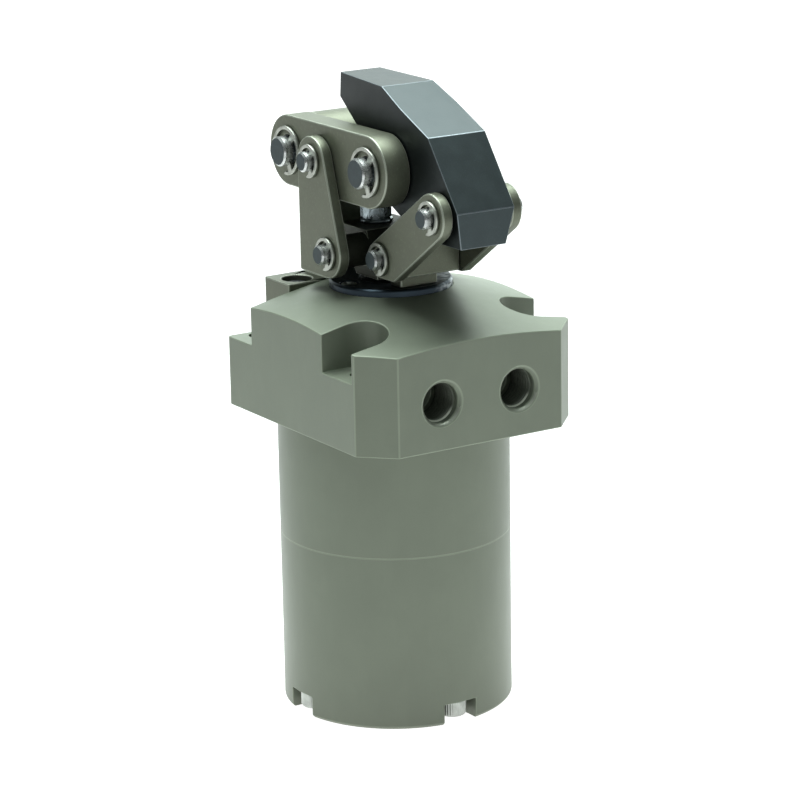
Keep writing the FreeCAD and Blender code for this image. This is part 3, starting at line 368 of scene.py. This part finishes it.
class RodSettings(bpy.types.PropertyGroup):
    """The rod, its gland, the pistons and the seals."""

    chrome: FloatVectorProperty(name="Hard chrome", description="Colour of the rod",
                                default=(0.60, 0.61, 0.62), subtype="COLOR", size=3)
    aluminium: FloatVectorProperty(name="Aluminium", description="Colour of the pistons",
                                   default=(0.62, 0.62, 0.60), subtype="COLOR", size=3)
    bronze: FloatVectorProperty(name="Bronze", description="Colour of the guide bush",
                                default=(0.50, 0.32, 0.12), subtype="COLOR", size=3)
    rubber: FloatVectorProperty(name="Rubber", description="Colour of the seals",
                                default=(0.012, 0.012, 0.013), subtype="COLOR", size=3)
    bloom: FloatVectorProperty(name="Bloom", description="Colour of the bloom on the seals",
                               default=(0.035, 0.035, 0.036), subtype="COLOR", size=3)
    gland: FloatVectorProperty(name="Blued steel", description="Colour of the gland ring",
                               default=(0.030, 0.042, 0.055), subtype="COLOR", size=3)
    # The bright colour at the gland's far right is a painted highlight.
    gland_highlight_colour: FloatVectorProperty(name="Scuffed steel", description="Colour of the gland's scuffs",
                                 default=(0.56, 0.60, 0.63), subtype="COLOR", size=3)
    gland_round: FloatProperty(name="Gland round", description="Rounding of the gland ring's edges",
                               default=0.0002, min=0.0, unit="LENGTH")


# Finishes.
def coat_finish(name, settings, turned=None, level=1.0):
    """Hard coat: satin grey-green, finely grained, with faint turned rings on a crown or a side."""
    finish = Finish(name)
    base = rgba(settings.colour, level)
    cloud = finish.spread(finish.noise(14.0, detail=4.0), 0.32, 0.68)
    grain = finish.noise(settings.grain, detail=2.0, rough=0.7)
    smear = finish.spread(finish.noise(3.2, stretch=(1.0, 1.0, 0.35)), 0.45, 0.75)
    specks = finish.spread(grain, 0.55, 0.80)
    tone = finish.blend(cloud, rgba(base, 0.97), rgba(base, 1.03))
    tone = finish.blend(smear * 0.05, tone, rgba(base, 1.35))
    tone = finish.blend(specks * 0.16, tone, rgba(base, 0.66))
    finish.shade(Base_Color=tone, Metallic=settings.metal, Specular_IOR_Level=0.25,
                 Roughness=settings.roughness + 0.03 * cloud - 0.02 * smear)
    height = grain
    if turned:
        run = finish.split(finish.place())[2] if turned == "side" else finish.off_axis()
        rings = (run * (2 * math.pi / settings.turning_pitch)).sine()
        broken = finish.spread(finish.noise(6.0, detail=2.0, stretch=(1.0, 1.0, 4.0)), 0.4, 0.7)
        height = grain * 0.75 + rings * 0.12 * broken
    finish.dent(height, depth_mm=0.035, strength=0.55)
    return finish.material


def oxide_finish(name, colour, roughness, grain_mm=0.35, metal=0.75, ground=(1.0, 1.0, 1.0),
                 sides=1.0, slope=1.0):
    """Oxide on steel: mottled and finely ground. The sides and the rear slope may be darkened with
    painted shade.
    """
    finish = Finish(name)
    cloud = finish.spread(finish.noise(5.0, detail=4.0), 0.35, 0.70)
    scratch = finish.noise(grain_mm, stretch=ground, rough=0.65)
    scratched = finish.spread(scratch, 0.50, 0.80)
    tone = finish.blend(cloud, rgba(colour, 0.95), rgba(colour, 1.05))
    tone = finish.blend(scratched * 0.45, tone, rgba(colour, 1.7))
    # Painted shade: faces turned across are darkened to sides of the colour, and the rear slope,
    # facing along and up, to slope of it.
    if sides < 1.0 or slope < 1.0:
        across, along, up = finish.facing()
        tone = finish.blend(abs(across) > 0.9, tone, rgba(colour, sides))
        tone = finish.blend((along < -0.2) * (up > 0.7), tone, rgba(colour, slope))
    finish.shade(Base_Color=tone, Metallic=metal, Roughness=roughness + 0.03 * cloud)
    finish.dent(scratch, depth_mm=0.02, strength=0.5)
    return finish.material


def bright_finish(name, colour, roughness, streak=(1.0, 1.0, 1.0)):
    """Bare or plated metal with fine marks and a little dulling."""
    finish = Finish(name)
    dull = finish.spread(finish.noise(2.0, detail=4.0), 0.35, 0.75)
    marks = finish.noise(0.15, detail=2.0, stretch=streak, rough=0.6)
    tone = finish.blend(dull * 0.5, rgba(colour), rgba(colour, 0.72))
    finish.shade(Base_Color=tone, Metallic=1.0, Roughness=roughness + 0.16 * dull)
    finish.dent(marks, depth_mm=0.006, strength=0.5)
    return finish.material


def pin_finish(name, settings):
    """A ground pin: bright round its side, dark oxide on its end faces."""
    finish = Finish(name)
    end = abs(finish.facing()[0]) > 0.9
    dull = finish.spread(finish.noise(1.6, detail=4.0), 0.35, 0.75)
    side = finish.blend(dull, rgba(settings.steel), rgba(settings.steel, 0.7))
    face = finish.blend(dull, rgba(settings.end_face), rgba(settings.end_face, 1.5))
    finish.shade(Base_Color=finish.blend(end, side, face), Metallic=0.9 - 0.4 * end,
                 Specular_IOR_Level=0.25, Roughness=0.24 + 0.18 * end + 0.1 * dull)
    finish.dent(finish.noise(0.12, detail=2.0, stretch=(3.0, 1.0, 1.0), rough=0.6),
                depth_mm=0.008, strength=0.5)
    return finish.material


def gland_finish(name, settings):
    """Dark blued steel, with bright streaks at its far right: a painted highlight where light
    catches the ring.
    """
    finish = Finish(name)
    across, along, _ = finish.place_mm()
    # Painted highlight: bright streaks towards the ring's far right.
    highlight_streaks = finish.spread(finish.noise(2.0, stretch=(1.0, 1.0, 2.0)), 0.36, 0.76)
    lit_right_end = highlight_streaks * finish.spread(across - along * 0.4, 10.0, 18.0)
    tone = finish.blend(lit_right_end, rgba(settings.gland), rgba(settings.gland_highlight_colour))
    finish.shade(Base_Color=tone, Metallic=0.9, Roughness=0.36 + 0.04 * lit_right_end)
    finish.dent(finish.noise(1.2), depth_mm=0.02, strength=0.5)
    return finish.material


def thread_finish(name, settings, mouth):
    """A cut thread in a port: dark inside, with a painted highlight, bare and bright, low down in
    the mouth where light from above falls on it.
    """
    finish = Finish(name)
    _, along, up = finish.place_mm()
    near = 1.0 - finish.spread(along - mouth[1] / MM, 1.5, 4.0)
    # Painted highlight on the thread near the mouth and low down.
    lit_lip = near * finish.spread(mouth[2] / MM - up, 1.5, 4.5)
    tone = finish.blend(lit_lip, rgba(settings.colour), rgba(settings.thread_lip_highlight_colour))
    finish.shade(Base_Color=tone, Metallic=0.75 - 0.75 * lit_lip, Roughness=0.5)
    finish.dent(finish.noise(0.3, rough=0.65), depth_mm=0.02, strength=0.5)
    return finish.material


def rubber_finish(name, settings):
    """Moulded nitrile rubber."""
    finish = Finish(name)
    bloom = finish.spread(finish.noise(1.5, detail=4.0), 0.4, 0.75)
    tone = finish.blend(bloom, rgba(settings.rubber), rgba(settings.bloom))
    finish.shade(Base_Color=tone, Metallic=0.0, Roughness=0.55 + 0.2 * bloom)
    finish.dent(finish.noise(0.2, detail=2.0), depth_mm=0.01, strength=0.4)
    return finish.material


# Meshes.
def new_piece(name, mesh, body, materials, stands_for=()):
    """Make an object of a mesh, ride it on its body and give it its materials."""
    piece = bpy.data.objects.new(name, mesh)
    bpy.context.scene.collection.objects.link(piece)
    mesh.materials.clear()
    for material in materials:
        mesh.materials.append(material)
    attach(piece, body)
    if stands_for:
        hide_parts(*stands_for)
    return piece


def node_facts(node):
    """A node's body and its material slot in the record."""
    body = next(b for b, nodes in FRAME["record"]["behaviour"]["bodies"].items() if node in nodes)
    slot = next(s["material_slot"] for s in FRAME["record"]["subparts"] if s["node"] == node)
    return body, slot


def detailed_piece(node, mesh, material):
    """Put a detailed mesh in the place of a plain solid."""
    body, slot = node_facts(node)
    return new_piece(node + "_detailed", mesh, body, [material], [node])


def port_facts(name):
    """Where a port's mouth is, and the port's radius and length."""
    mount = next(m for m in FRAME["record"]["mounts"] if m["name"] == name)
    return mount["pos_m"], mount["dims"]["r_mm"] * MM, mount["dims"]["length_mm"] * MM


def clean_outline(mesh):
    """Join a solid's facets into whole faces, so that its real edges can be rounded."""
    shape = bmesh.new()
    shape.from_mesh(mesh)
    bmesh.ops.remove_doubles(shape, verts=shape.verts, dist=WELD_GAP)
    bmesh.ops.dissolve_limit(shape, angle_limit=FLAT_ANGLE, use_dissolve_boundaries=False,
                             verts=shape.verts, edges=shape.edges, delimit=set())
    bmesh.ops.recalc_face_normals(shape, faces=shape.faces)
    shape.to_mesh(mesh)
    shape.free()


def rounded_piece(node, width, materials, angle=ROUND_ANGLE):
    """A copy of a solid with its edges rounded. The last material goes on the rounding."""
    mesh = FRAME["nodes"][node].data.copy()
    mesh.name = node + "_rounded"
    clean_outline(mesh)
    for face in mesh.polygons:
        face.use_smooth = True
        face.material_index = 0
    body, slot = node_facts(node)
    piece = new_piece(node + "_rounded", mesh, body, materials, [node])
    bevel = piece.modifiers.new("Edge round", "BEVEL")
    bevel.width = width
    bevel.segments = 2
    bevel.limit_method = "ANGLE"
    bevel.angle_limit = angle
    bevel.use_clamp_overlap = False
    bevel.harden_normals = True
    bevel.miter_outer = "MITER_ARC"
    bevel.material = len(materials) - 1
    piece.modifiers.new("Face normals", "WEIGHTED_NORMAL").keep_sharp = True
    return piece


def close_seam(piece, height, radius):
    """Close a barrel's chamfered seam to a hairline, crisp and with the edges' finish."""
    chamfer = 0.4 * MM     # the seam's chamfers are no higher and no deeper
    groove = 0.06 * MM     # what stays open of them
    on_seam = 0.02 * MM    # how near to the seam a corner lies on it
    near_seam = 0.2 * MM   # how near to the seam an edge keeps its crispness
    crispness = 0.08       # the share of the other edges' rounding
    # The seam's chamfers take the last material, the lighter edge coat: a painted highlight line.
    for face in piece.data.polygons:
        if abs(face.center.z - height) < chamfer and 0.3 < abs(face.normal.z) < 0.95:
            face.material_index = len(piece.data.materials) - 1
    bevel = piece.modifiers["Edge round"]
    shape = bmesh.new()
    shape.from_mesh(piece.data)
    for vert in shape.verts:
        reach = math.hypot(vert.co.x, vert.co.y)
        if abs(vert.co.z - height) < on_seam and radius - chamfer < reach < radius:
            grown = (radius - groove) / reach
            vert.co.x *= grown
            vert.co.y *= grown
    shape.normal_update()
    weight = shape.edges.layers.float.new("bevel_weight_edge")
    for edge in shape.edges:
        if len(edge.link_faces) == 2 and edge.calc_face_angle() > bevel.angle_limit:
            at_seam = all(abs(vert.co.z - height) < near_seam for vert in edge.verts)
            edge[weight] = crispness if at_seam else 1.0
    shape.to_mesh(piece.data)
    shape.free()
    bevel.limit_method = "WEIGHT"


def finish_node(node, material):
    """Give a solid that keeps its own mesh its finish."""
    piece = FRAME["nodes"][node]
    for slot in piece.material_slots:
        slot.material = material
    if not piece.material_slots:
        piece.data.materials.append(material)


def loops_mesh(name, loops, closed_ends=True):
    """Join loops of points, all with as many points, into a skin."""
    shape = bmesh.new()
    rows = [[shape.verts.new(point) for point in loop] for loop in loops]
    count = len(rows[0])
    for low, high in zip(rows, rows[1:]):
        for i in range(count):
            j = (i + 1) % count
            shape.faces.new((low[i], low[j], high[j], high[i]))
    if closed_ends:
        shape.faces.new(list(reversed(rows[0])))
        shape.faces.new(rows[-1])
    bmesh.ops.recalc_face_normals(shape, faces=shape.faces)
    for face in shape.faces:
        face.smooth = True
    for edge in shape.edges:
        if len(edge.link_faces) == 2 and edge.calc_face_angle() > CREASE_ANGLE:
            edge.smooth = False
    mesh = bpy.data.meshes.new(name)
    shape.to_mesh(mesh)
    shape.free()
    return mesh


def turned_loops(rows, count):
    """Loops round the upright axis. A row is a height and a reach, or how the reach goes round."""
    loops = []
    for up, reach in rows:
        loop = []
        for i in range(count):
            turn = 2 * math.pi * i / count
            off = reach(turn) if callable(reach) else reach
            loop.append((off * math.cos(turn), off * math.sin(turn), up))
        loops.append(loop)
    return loops


def hexagon_reach(turn, flats):
    """Distance from a hexagon's centre to its side, in one direction."""
    sector = math.pi / 3
    return flats / 2 / math.cos((turn + sector / 2) % sector - sector / 2)


def placed(loops, place, down=False):
    """Move loops of points, and turn them over if they hang down."""
    turn = Matrix.Rotation(math.pi, 4, "X") if down else Matrix.Identity(4)
    move = Matrix.Translation(Vector(place)) @ turn
    return [[move @ Vector(point) for point in loop] for loop in loops]


def cap_screw_loops(settings, size, head, length, count=144):
    """The outline of a socket cap screw with a knurled head, standing on its shank."""
    shank, rim, top, flats = size.shank / 2, head / 2, size.head_height, size.socket
    short, tip = 0.2 * MM, 0.6 * MM

    def knurl(turn):
        return rim - settings.knurl_depth * (0.5 - 0.5 * math.cos(settings.knurls * turn))

    def hexagon(turn):
        return hexagon_reach(turn, flats)

    def socket_mouth(turn):
        return max(hexagon_reach(turn, flats), flats / 2 * 1.10)

    rows = [(short - length, shank - tip), (short + tip - length, shank), (0.0, shank)]
    # The bevel under the head: millimetres above its seat, and in from its rim.
    rows += [(up * MM, rim - inward * MM) for up, inward in ((0.0, 0.35), (0.35, 0.15))]
    rows += [(0.5 * MM, knurl), (top - 0.7 * MM, knurl)]
    # The bevel over the knurls: millimetres below its top, and in from its rim.
    rows += [(top - down * MM, rim - inward * MM)
             for down, inward in ((0.5, 0.15), (0.12, 0.4), (0.0, 0.7))]
    # The socket, half as deep as the head is high, and the drill's cone below it.
    rows += [(top, socket_mouth), (top - 0.2 * MM, hexagon), (top - top * 0.5, hexagon),
             (top - top * 0.62, flats * 0.06)]
    return turned_loops(rows, count)


def joined_mesh(name, meshes):
    """One mesh made of several, which are used up."""
    shape = bmesh.new()
    for mesh in meshes:
        shape.from_mesh(mesh)
        bpy.data.meshes.remove(mesh)
    joined = bpy.data.meshes.new(name)
    shape.to_mesh(joined)
    shape.free()
    return joined


def solid_boxes(node):
    """The lowest and the highest corner of each separate solid of a node."""
    shape = bmesh.new()
    shape.from_mesh(FRAME["nodes"][node].data)
    bmesh.ops.remove_doubles(shape, verts=shape.verts, dist=WELD_GAP)
    left = set(shape.verts)
    boxes = []
    while left:
        queue = [left.pop()]
        found = list(queue)
        while queue:
            for edge in queue.pop().link_edges:
                for vert in edge.verts:
                    if vert in left:
                        left.remove(vert)
                        queue.append(vert)
                        found.append(vert)
        low = Vector(tuple(min(v.co[i] for v in found) for i in range(3)))
        high = Vector(tuple(max(v.co[i] for v in found) for i in range(3)))
        boxes.append((low, high))
    shape.free()
    return sorted(boxes, key=lambda box: tuple(box[0]))


def screws_piece(node, settings, size, material, down=False):
    """Detailed cap screws where a node's plain ones stand, or hang down."""
    meshes = []
    for low, high in solid_boxes(node):
        head = (high - low).x
        length = (high - low).z - size.head_height
        seat = low.z + size.head_height if down else high.z - size.head_height
        place = ((low.x + high.x) / 2, (low.y + high.y) / 2, seat)
        loops = cap_screw_loops(settings, size, head, length)
        meshes.append(loops_mesh(node, placed(loops, place, down)))
    return detailed_piece(node, joined_mesh(node + "_detailed", meshes), material)


class ClampStep(bpy.types.Operator):
    """What all the steps share."""

    bl_options = {"REGISTER", "UNDO"}


class CLAMP_OT_stage(ClampStep):
    """Set up the floor, the camera and the lights"""

    bl_idname = "clamp.stage"
    bl_label = "Stage"

    def execute(self, context):
        scene = context.scene
        settings = scene.clamp_stage
        self.add_floor(context, settings)
        self.add_camera(scene, settings)
        for name, place, target, size, power in SOFTBOXES:
            self.add_light(scene, name, place, target, size, getattr(settings, power),
                           settings.light_tint)
        scene.world = self.studio_world(settings)
        scene.view_settings.view_transform = "Standard"
        return {"FINISHED"}

    def add_floor(self, context, settings):
        """A floor that is white near the clamp and far away, and grey between."""
        low = SOLID_BOX[0].z
        bpy.ops.mesh.primitive_plane_add(size=settings.floor_size, location=(0.0, 0.0, low))
        floor = context.active_object
        floor.name = "studio_floor"
        finish = Finish("studio_floor")
        away = finish.off_axis()
        grey = rgba((settings.floor_glow,) * 3)
        glow = finish.blend(finish.spread(away, *FLOOR_GREYS), WHITE, grey)
        glow = finish.blend(finish.spread(away, *FLOOR_WHITENS), glow, WHITE)
        finish.shade(Base_Color=rgba(settings.floor_tint), Roughness=0.9, Emission_Strength=1.0,
                     Emission_Color=glow)
        floor.data.materials.append(finish.material)

    def add_camera(self, scene, settings):
        """The camera at the photograph's viewing angle."""
        camera = bpy.data.objects.new("camera", bpy.data.cameras.new("camera"))
        scene.collection.objects.link(camera)
        camera.location = settings.camera_place
        camera.rotation_euler = Euler(settings.camera_turn, "XYZ")
        camera.data.lens = settings.lens
        camera.data.sensor_width = 36.0
        camera.data.clip_start = 0.05
        scene.camera = camera

    def studio_world(self, settings):
        """A room that is bright overhead and behind the clamp, and dim on the near side."""
        world = bpy.data.worlds.new("studio")
        light = Finish("studio", world)
        across, along, up = light.split(light.node("ShaderNodeTexCoord", output="Generated"))
        turn = settings.camera_turn[2] - BACKDROP_TURN
        away = along * math.cos(turn) - across * math.sin(turn)
        room = (settings.room_light + light.spread(away, *BACKDROP_REACH) * settings.back_light
                + light.spread(up, *CEILING_REACH) * settings.sky_light)
        seen = light.node("ShaderNodeLightPath", output="Is Camera Ray")
        light.shade(Color=light.blend(seen, rgba(settings.light_tint), WHITE),
                    Strength=seen + (1.0 - seen) * room)
        return world

    def add_light(self, scene, name, place, target, size, power, tint):
        """A softbox that faces a point."""
        light = bpy.data.lights.new(name, "AREA")
        light.shape = "RECTANGLE"
        light.size, light.size_y = size
        light.energy = power
        light.color = tint
        lamp = bpy.data.objects.new(name, light)
        scene.collection.objects.link(lamp)
        lamp.location = place
        lamp.rotation_euler = (Vector(target) - Vector(place)).to_track_quat("-Z", "Y").to_euler()


class CLAMP_OT_flange(ClampStep):
    """Round and coat the flange and the barrels"""

    bl_idname = "clamp.flange"
    bl_label = "Flange and barrels"

    def execute(self, context):
        settings = context.scene.clamp_coat
        coat = coat_finish("hard_coat", settings, turned="crown")
        # The edge coat is the hard coat made lighter: a painted highlight along the rounded edges
        # and the seam.
        edge = coat_finish("hard_coat_edge", settings, level=1.35)
        # Lighter bare metal on the ports' lower lips: a painted highlight.
        cut = bright_finish("port_mouth_steel", settings.lip_highlight_colour, 0.42)
        flange = rounded_piece("flange_body", settings.edge_round, [coat, cut, edge])
        self.paint_port_lip_highlights(flange, 1)
        turned = coat_finish("hard_coat_turned", settings, turned="side")
        barrel = rounded_piece("lower_barrel", settings.edge_round, [turned, edge])
        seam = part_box("flange_body")[0].z
        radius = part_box("lower_barrel")[1].x
        for piece in (flange, barrel):
            close_seam(piece, seam, radius)
        return {"FINISHED"}

    def paint_port_lip_highlights(self, flange, material):
        """Bare the lower part of the ports' mouths, cut after the coating, in lighter metal only
        where light from above falls into them: a painted highlight.
        """
        depth, width = 2.5 * MM, 2.0 * MM
        for name in PORTS:
            (x, y, z), radius, _ = port_facts(name)
            for face in flange.data.polygons:
                off = math.hypot(face.center.x - x, face.center.z - z)
                in_mouth = abs(face.center.y - y) < depth and radius < off < radius + width
                slanted = abs(face.normal.y) < 0.95
                if in_mouth and slanted and face.center.z < z - radius * 0.3:
                    face.material_index = material


class CLAMP_OT_port_threads(ClampStep):
    """Cut the pipe threads of the two air ports"""

    bl_idname = "clamp.port_threads"
    bl_label = "Port threads"

    def execute(self, context):
        settings = context.scene.clamp_threads
        for name in PORTS:
            mouth, radius, length = port_facts(name)
            mesh = self.thread_mesh(name, mouth, radius, length, settings)
            steel = thread_finish(name + "_steel", settings, mouth)
            new_piece(name + "_thread", mesh, "base", [steel])
        return {"FINISHED"}

    def thread_mesh(self, name, mouth, radius, length, settings):
        """A ridge that winds into the port from its mouth and fades in and out."""
        start, stop = 0.6 * MM, length - 0.6 * MM
        root = radius + 0.1 * MM
        half_foot = settings.pitch * 0.42
        half_crest = half_foot * 0.15
        turns = (stop - start) / settings.pitch - 1.0
        count = int(turns * settings.steps)
        shape = bmesh.new()
        rows = []
        for i in range(count + 1):
            turn = 2 * math.pi * i / settings.steps
            depth = start + settings.pitch * (0.5 + i / settings.steps)
            fade = min(1.0, i / settings.steps, (count - i) / settings.steps)
            crest = radius - settings.ridge * fade
            row = []
            for reach, shift in ((root, -half_foot), (crest, -half_crest),
                                 (crest, half_crest), (root, half_foot)):
                row.append(shape.verts.new((mouth[0] + reach * math.cos(turn),
                                            mouth[1] + depth + shift,
                                            mouth[2] + reach * math.sin(turn))))
            rows.append(row)
        for first, second in zip(rows, rows[1:]):
            for k in range(3):
                shape.faces.new((first[k], first[k + 1], second[k + 1], second[k]))
        bmesh.ops.recalc_face_normals(shape, faces=shape.faces)
        for face in shape.faces:
            face.smooth = True
        mesh = bpy.data.meshes.new(name + "_thread")
        shape.to_mesh(mesh)
        shape.free()
        return mesh


class CLAMP_OT_brackets(ClampStep):
    """Round and finish the tower, the rear lug and the rod head"""

    bl_idname = "clamp.brackets"
    bl_label = "Brackets"

    def execute(self, context):
        settings = context.scene.clamp_links
        face = oxide_finish("bracket_oxide", settings.colour, settings.roughness)
        # The lighter edge oxide is rubbed wear with a painted highlight.
        edge = oxide_finish("bracket_edge", settings.edge_wear_highlight_colour, settings.roughness)
        for node in ("front_tower", "rear_lug"):
            rounded_piece(node, settings.edge_round, [face, edge])
        # The rod head's oxide at 0.30 of the links' colour is painted shade, for the links' shadow
        # it stands in.
        dark = oxide_finish("rod_head_oxide", rgba(settings.colour, 0.30), settings.roughness)
        rounded_piece("rod_head", settings.edge_round * 0.5, [dark, edge])
        return {"FINISHED"}


class CLAMP_OT_links(ClampStep):
    """Round and finish the fork, the tall links and the tie links"""

    bl_idname = "clamp.links"
    bl_label = "Links"

    def execute(self, context):
        settings = context.scene.clamp_links
        face = oxide_finish("link_oxide", settings.colour, settings.roughness,
                            ground=(1.0, 0.4, 0.4))
        # The lighter edge oxide is rubbed wear with a painted highlight.
        edge = oxide_finish("link_edge", settings.edge_wear_highlight_colour, settings.roughness)
        for node in ("fork_link", "near_tall_link", "far_tall_link", "near_tie_link",
                     "far_tie_link"):
            rounded_piece(node, settings.edge_round, [face, edge])
        return {"FINISHED"}


class CLAMP_OT_arm(ClampStep):
    """Round and blacken the clamp arm"""

    bl_idname = "clamp.arm"
    bl_label = "Clamp arm"

    def execute(self, context):
        settings = context.scene.clamp_arm
        # The arm's sides at 0.45 and its rear slope at 0.80 of its colour are painted shade.
        face = oxide_finish("arm_black", settings.colour, settings.roughness,
                            grain_mm=0.3, metal=0.85, sides=0.45, slope=0.80)
        # The lighter edge oxide is rubbed wear with a painted highlight.
        edge = oxide_finish("arm_edge", settings.edge_wear_highlight_colour, settings.roughness - 0.05,
                            grain_mm=0.3, metal=0.8)
        rounded_piece("clamp_arm", settings.edge_round, [face, edge], angle=ARM_ROUND_ANGLE)
        return {"FINISHED"}


class CLAMP_OT_pins(ClampStep):
    """Finish the link pins and their retaining rings"""

    bl_idname = "clamp.pins"
    bl_label = "Pins and rings"

    def execute(self, context):
        settings = context.scene.clamp_pins
        steel = pin_finish("ground_pin", settings)
        ring = bright_finish("ring_spring_steel", settings.ring_steel, 0.34)
        for name in ("tower", "arm", "drive", "rod", "lug", "tail"):
            finish_node(name + "_pin", steel)
            rounded_piece(name + "_pin_rings", settings.ring_round, [ring])
        return {"FINISHED"}


class CLAMP_OT_screws(ClampStep):
    """Make the cap screws with knurled heads and hexagon sockets"""

    bl_idname = "clamp.screws"
    bl_label = "Cap screws"

    def execute(self, context):
        settings = context.scene.clamp_pins
        nickel = bright_finish("screw_nickel", settings.nickel, 0.34)
        black = oxide_finish("screw_black", settings.black, 0.4)
        screws_piece("barrel_screws", settings, M5, nickel, down=True)
        screws_piece("tower_screws", settings, M5, black)
        screws_piece("gland_screws", settings, M3, nickel)
        screws_piece("lug_screws", settings, M3, nickel, down=True)
        return {"FINISHED"}


class CLAMP_OT_stop(ClampStep):
    """Make the stop screw, its lock nut and its washer"""

    bl_idname = "clamp.stop"
    bl_label = "Stop screw"

    def execute(self, context):
        settings = context.scene.clamp_stop
        zinc = bright_finish("nut_zinc", settings.zinc, 0.25)
        self.add_nut(zinc)
        self.add_screw(zinc)
        rounded_piece("nut_washer", settings.washer_round, [zinc])
        return {"FINISHED"}

    def add_nut(self, material, count=96):
        """A hexagon nut with bevelled corners and a bevelled bore."""
        low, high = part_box("lock_nut")
        flats, top = (high - low).y, (high - low).z
        bore, bore_bevel, corner_bevel = 2.52 * MM, 0.4 * MM, 0.42 * MM

        def side(turn):
            return hexagon_reach(turn, flats)

        def end(turn):
            return min(hexagon_reach(turn, flats), flats * 0.515)

        rows = [(bore_bevel, bore), (0.0, bore + bore_bevel), (0.0, end), (corner_bevel, side),
                (top - corner_bevel, side), (top, end), (top, bore + bore_bevel),
                (top - bore_bevel, bore), (bore_bevel, bore)]
        foot = ((low.x + high.x) / 2, (low.y + high.y) / 2, low.z)
        loops = placed(turned_loops(rows, count), foot)
        mesh = loops_mesh("lock_nut_detailed", loops, closed_ends=False)
        detailed_piece("lock_nut", mesh, material)

    def add_screw(self, material, steps=36):
        """A threaded rod, whose thread runs out at both ends."""
        low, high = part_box("stop_screw")
        radius, length = (high - low).x / 2, high.z - low.z
        x, y = (low.x + high.x) / 2, (low.y + high.y) / 2
        pitch, depth, levels_a_turn = 0.8 * MM, 0.35 * MM, 6
        levels = int(length / pitch * levels_a_turn)
        loops = []
        for k in range(levels + 1):
            up = low.z + length * k / levels
            run_out = min(1.0, (high.z - up) / pitch, (up - low.z) / pitch)
            loop = []
            for i in range(steps):
                turn = 2 * math.pi * i / steps
                phase = ((up - low.z) / pitch - i / steps) % 1.0
                ridge = 1.0 - abs(2 * phase - 1.0)
                reach = radius - depth * (1.0 - ridge * run_out)
                loop.append((x + reach * math.cos(turn), y + reach * math.sin(turn), up))
            loops.append(loop)
        detailed_piece("stop_screw", loops_mesh("stop_screw_detailed", loops), material)


class CLAMP_OT_rod(ClampStep):
    """Finish the rod, its gland, the pistons and the seals"""

    bl_idname = "clamp.rod"
    bl_label = "Rod and pistons"

    def execute(self, context):
        settings = context.scene.clamp_rod
        ground, turned = (1.0, 1.0, 5.0), (1.0, 1.0, 6.0)
        chrome = bright_finish("hard_chrome", settings.chrome, 0.12, streak=ground)
        machined = bright_finish("machined_aluminium", settings.aluminium, 0.32, streak=turned)
        bronze = bright_finish("turned_bronze", settings.bronze, 0.30, streak=turned)
        rubber = rubber_finish("nitrile_rubber", settings)
        rounded_piece("gland_ring", settings.gland_round, [gland_finish("gland_steel", settings)])
        finish_node("piston_rod", chrome)
        finish_node("guide_bush", bronze)
        for node in ("ring_nut", "tail_nut", "upper_piston", "lower_piston", "chamber_divider"):
            finish_node(node, machined)
        for node in ("divider_seal", "upper_piston_seal", "lower_piston_seal", "rod_seal",
                     "rod_wiper"):
            finish_node(node, rubber)
        return {"FINISHED"}


class CLAMP_PT_panel(bpy.types.Panel):
    """Lists the steps that finish the clamp"""

    bl_idname = "CLAMP_PT_panel"
    bl_label = "Link Clamp"
    bl_space_type = "VIEW_3D"
    bl_region_type = "UI"
    bl_category = "Link Clamp"

    def draw(self, context):
        for step in STEPS:
            self.layout.operator(step.bl_idname)


SETTINGS = {
    "clamp_stage": StageSettings, "clamp_coat": CoatSettings, "clamp_links": LinkSettings,
    "clamp_arm": ArmSettings, "clamp_pins": PinSettings, "clamp_stop": StopSettings,
    "clamp_threads": ThreadSettings, "clamp_rod": RodSettings,
}
STEPS = (CLAMP_OT_stage, CLAMP_OT_flange, CLAMP_OT_port_threads, CLAMP_OT_brackets, CLAMP_OT_links,
         CLAMP_OT_arm, CLAMP_OT_pins, CLAMP_OT_screws, CLAMP_OT_stop, CLAMP_OT_rod)


def register():
    for kind in (*SETTINGS.values(), *STEPS, CLAMP_PT_panel):
        bpy.utils.register_class(kind)
    for name, kind in SETTINGS.items():
        setattr(bpy.types.Scene, name, PointerProperty(type=kind))


def unregister():
    for name in SETTINGS:
        delattr(bpy.types.Scene, name)
    for kind in reversed((*SETTINGS.values(), *STEPS, CLAMP_PT_panel)):
        bpy.utils.unregister_class(kind)


def main():
    register()
    bpy.ops.clamp.stage()
    bpy.ops.clamp.flange()
    bpy.ops.clamp.port_threads()
    bpy.ops.clamp.brackets()
    bpy.ops.clamp.links()
    bpy.ops.clamp.arm()
    bpy.ops.clamp.pins()
    bpy.ops.clamp.screws()
    bpy.ops.clamp.stop()
    bpy.ops.clamp.rod()


if __name__ == "__main__":
    main()
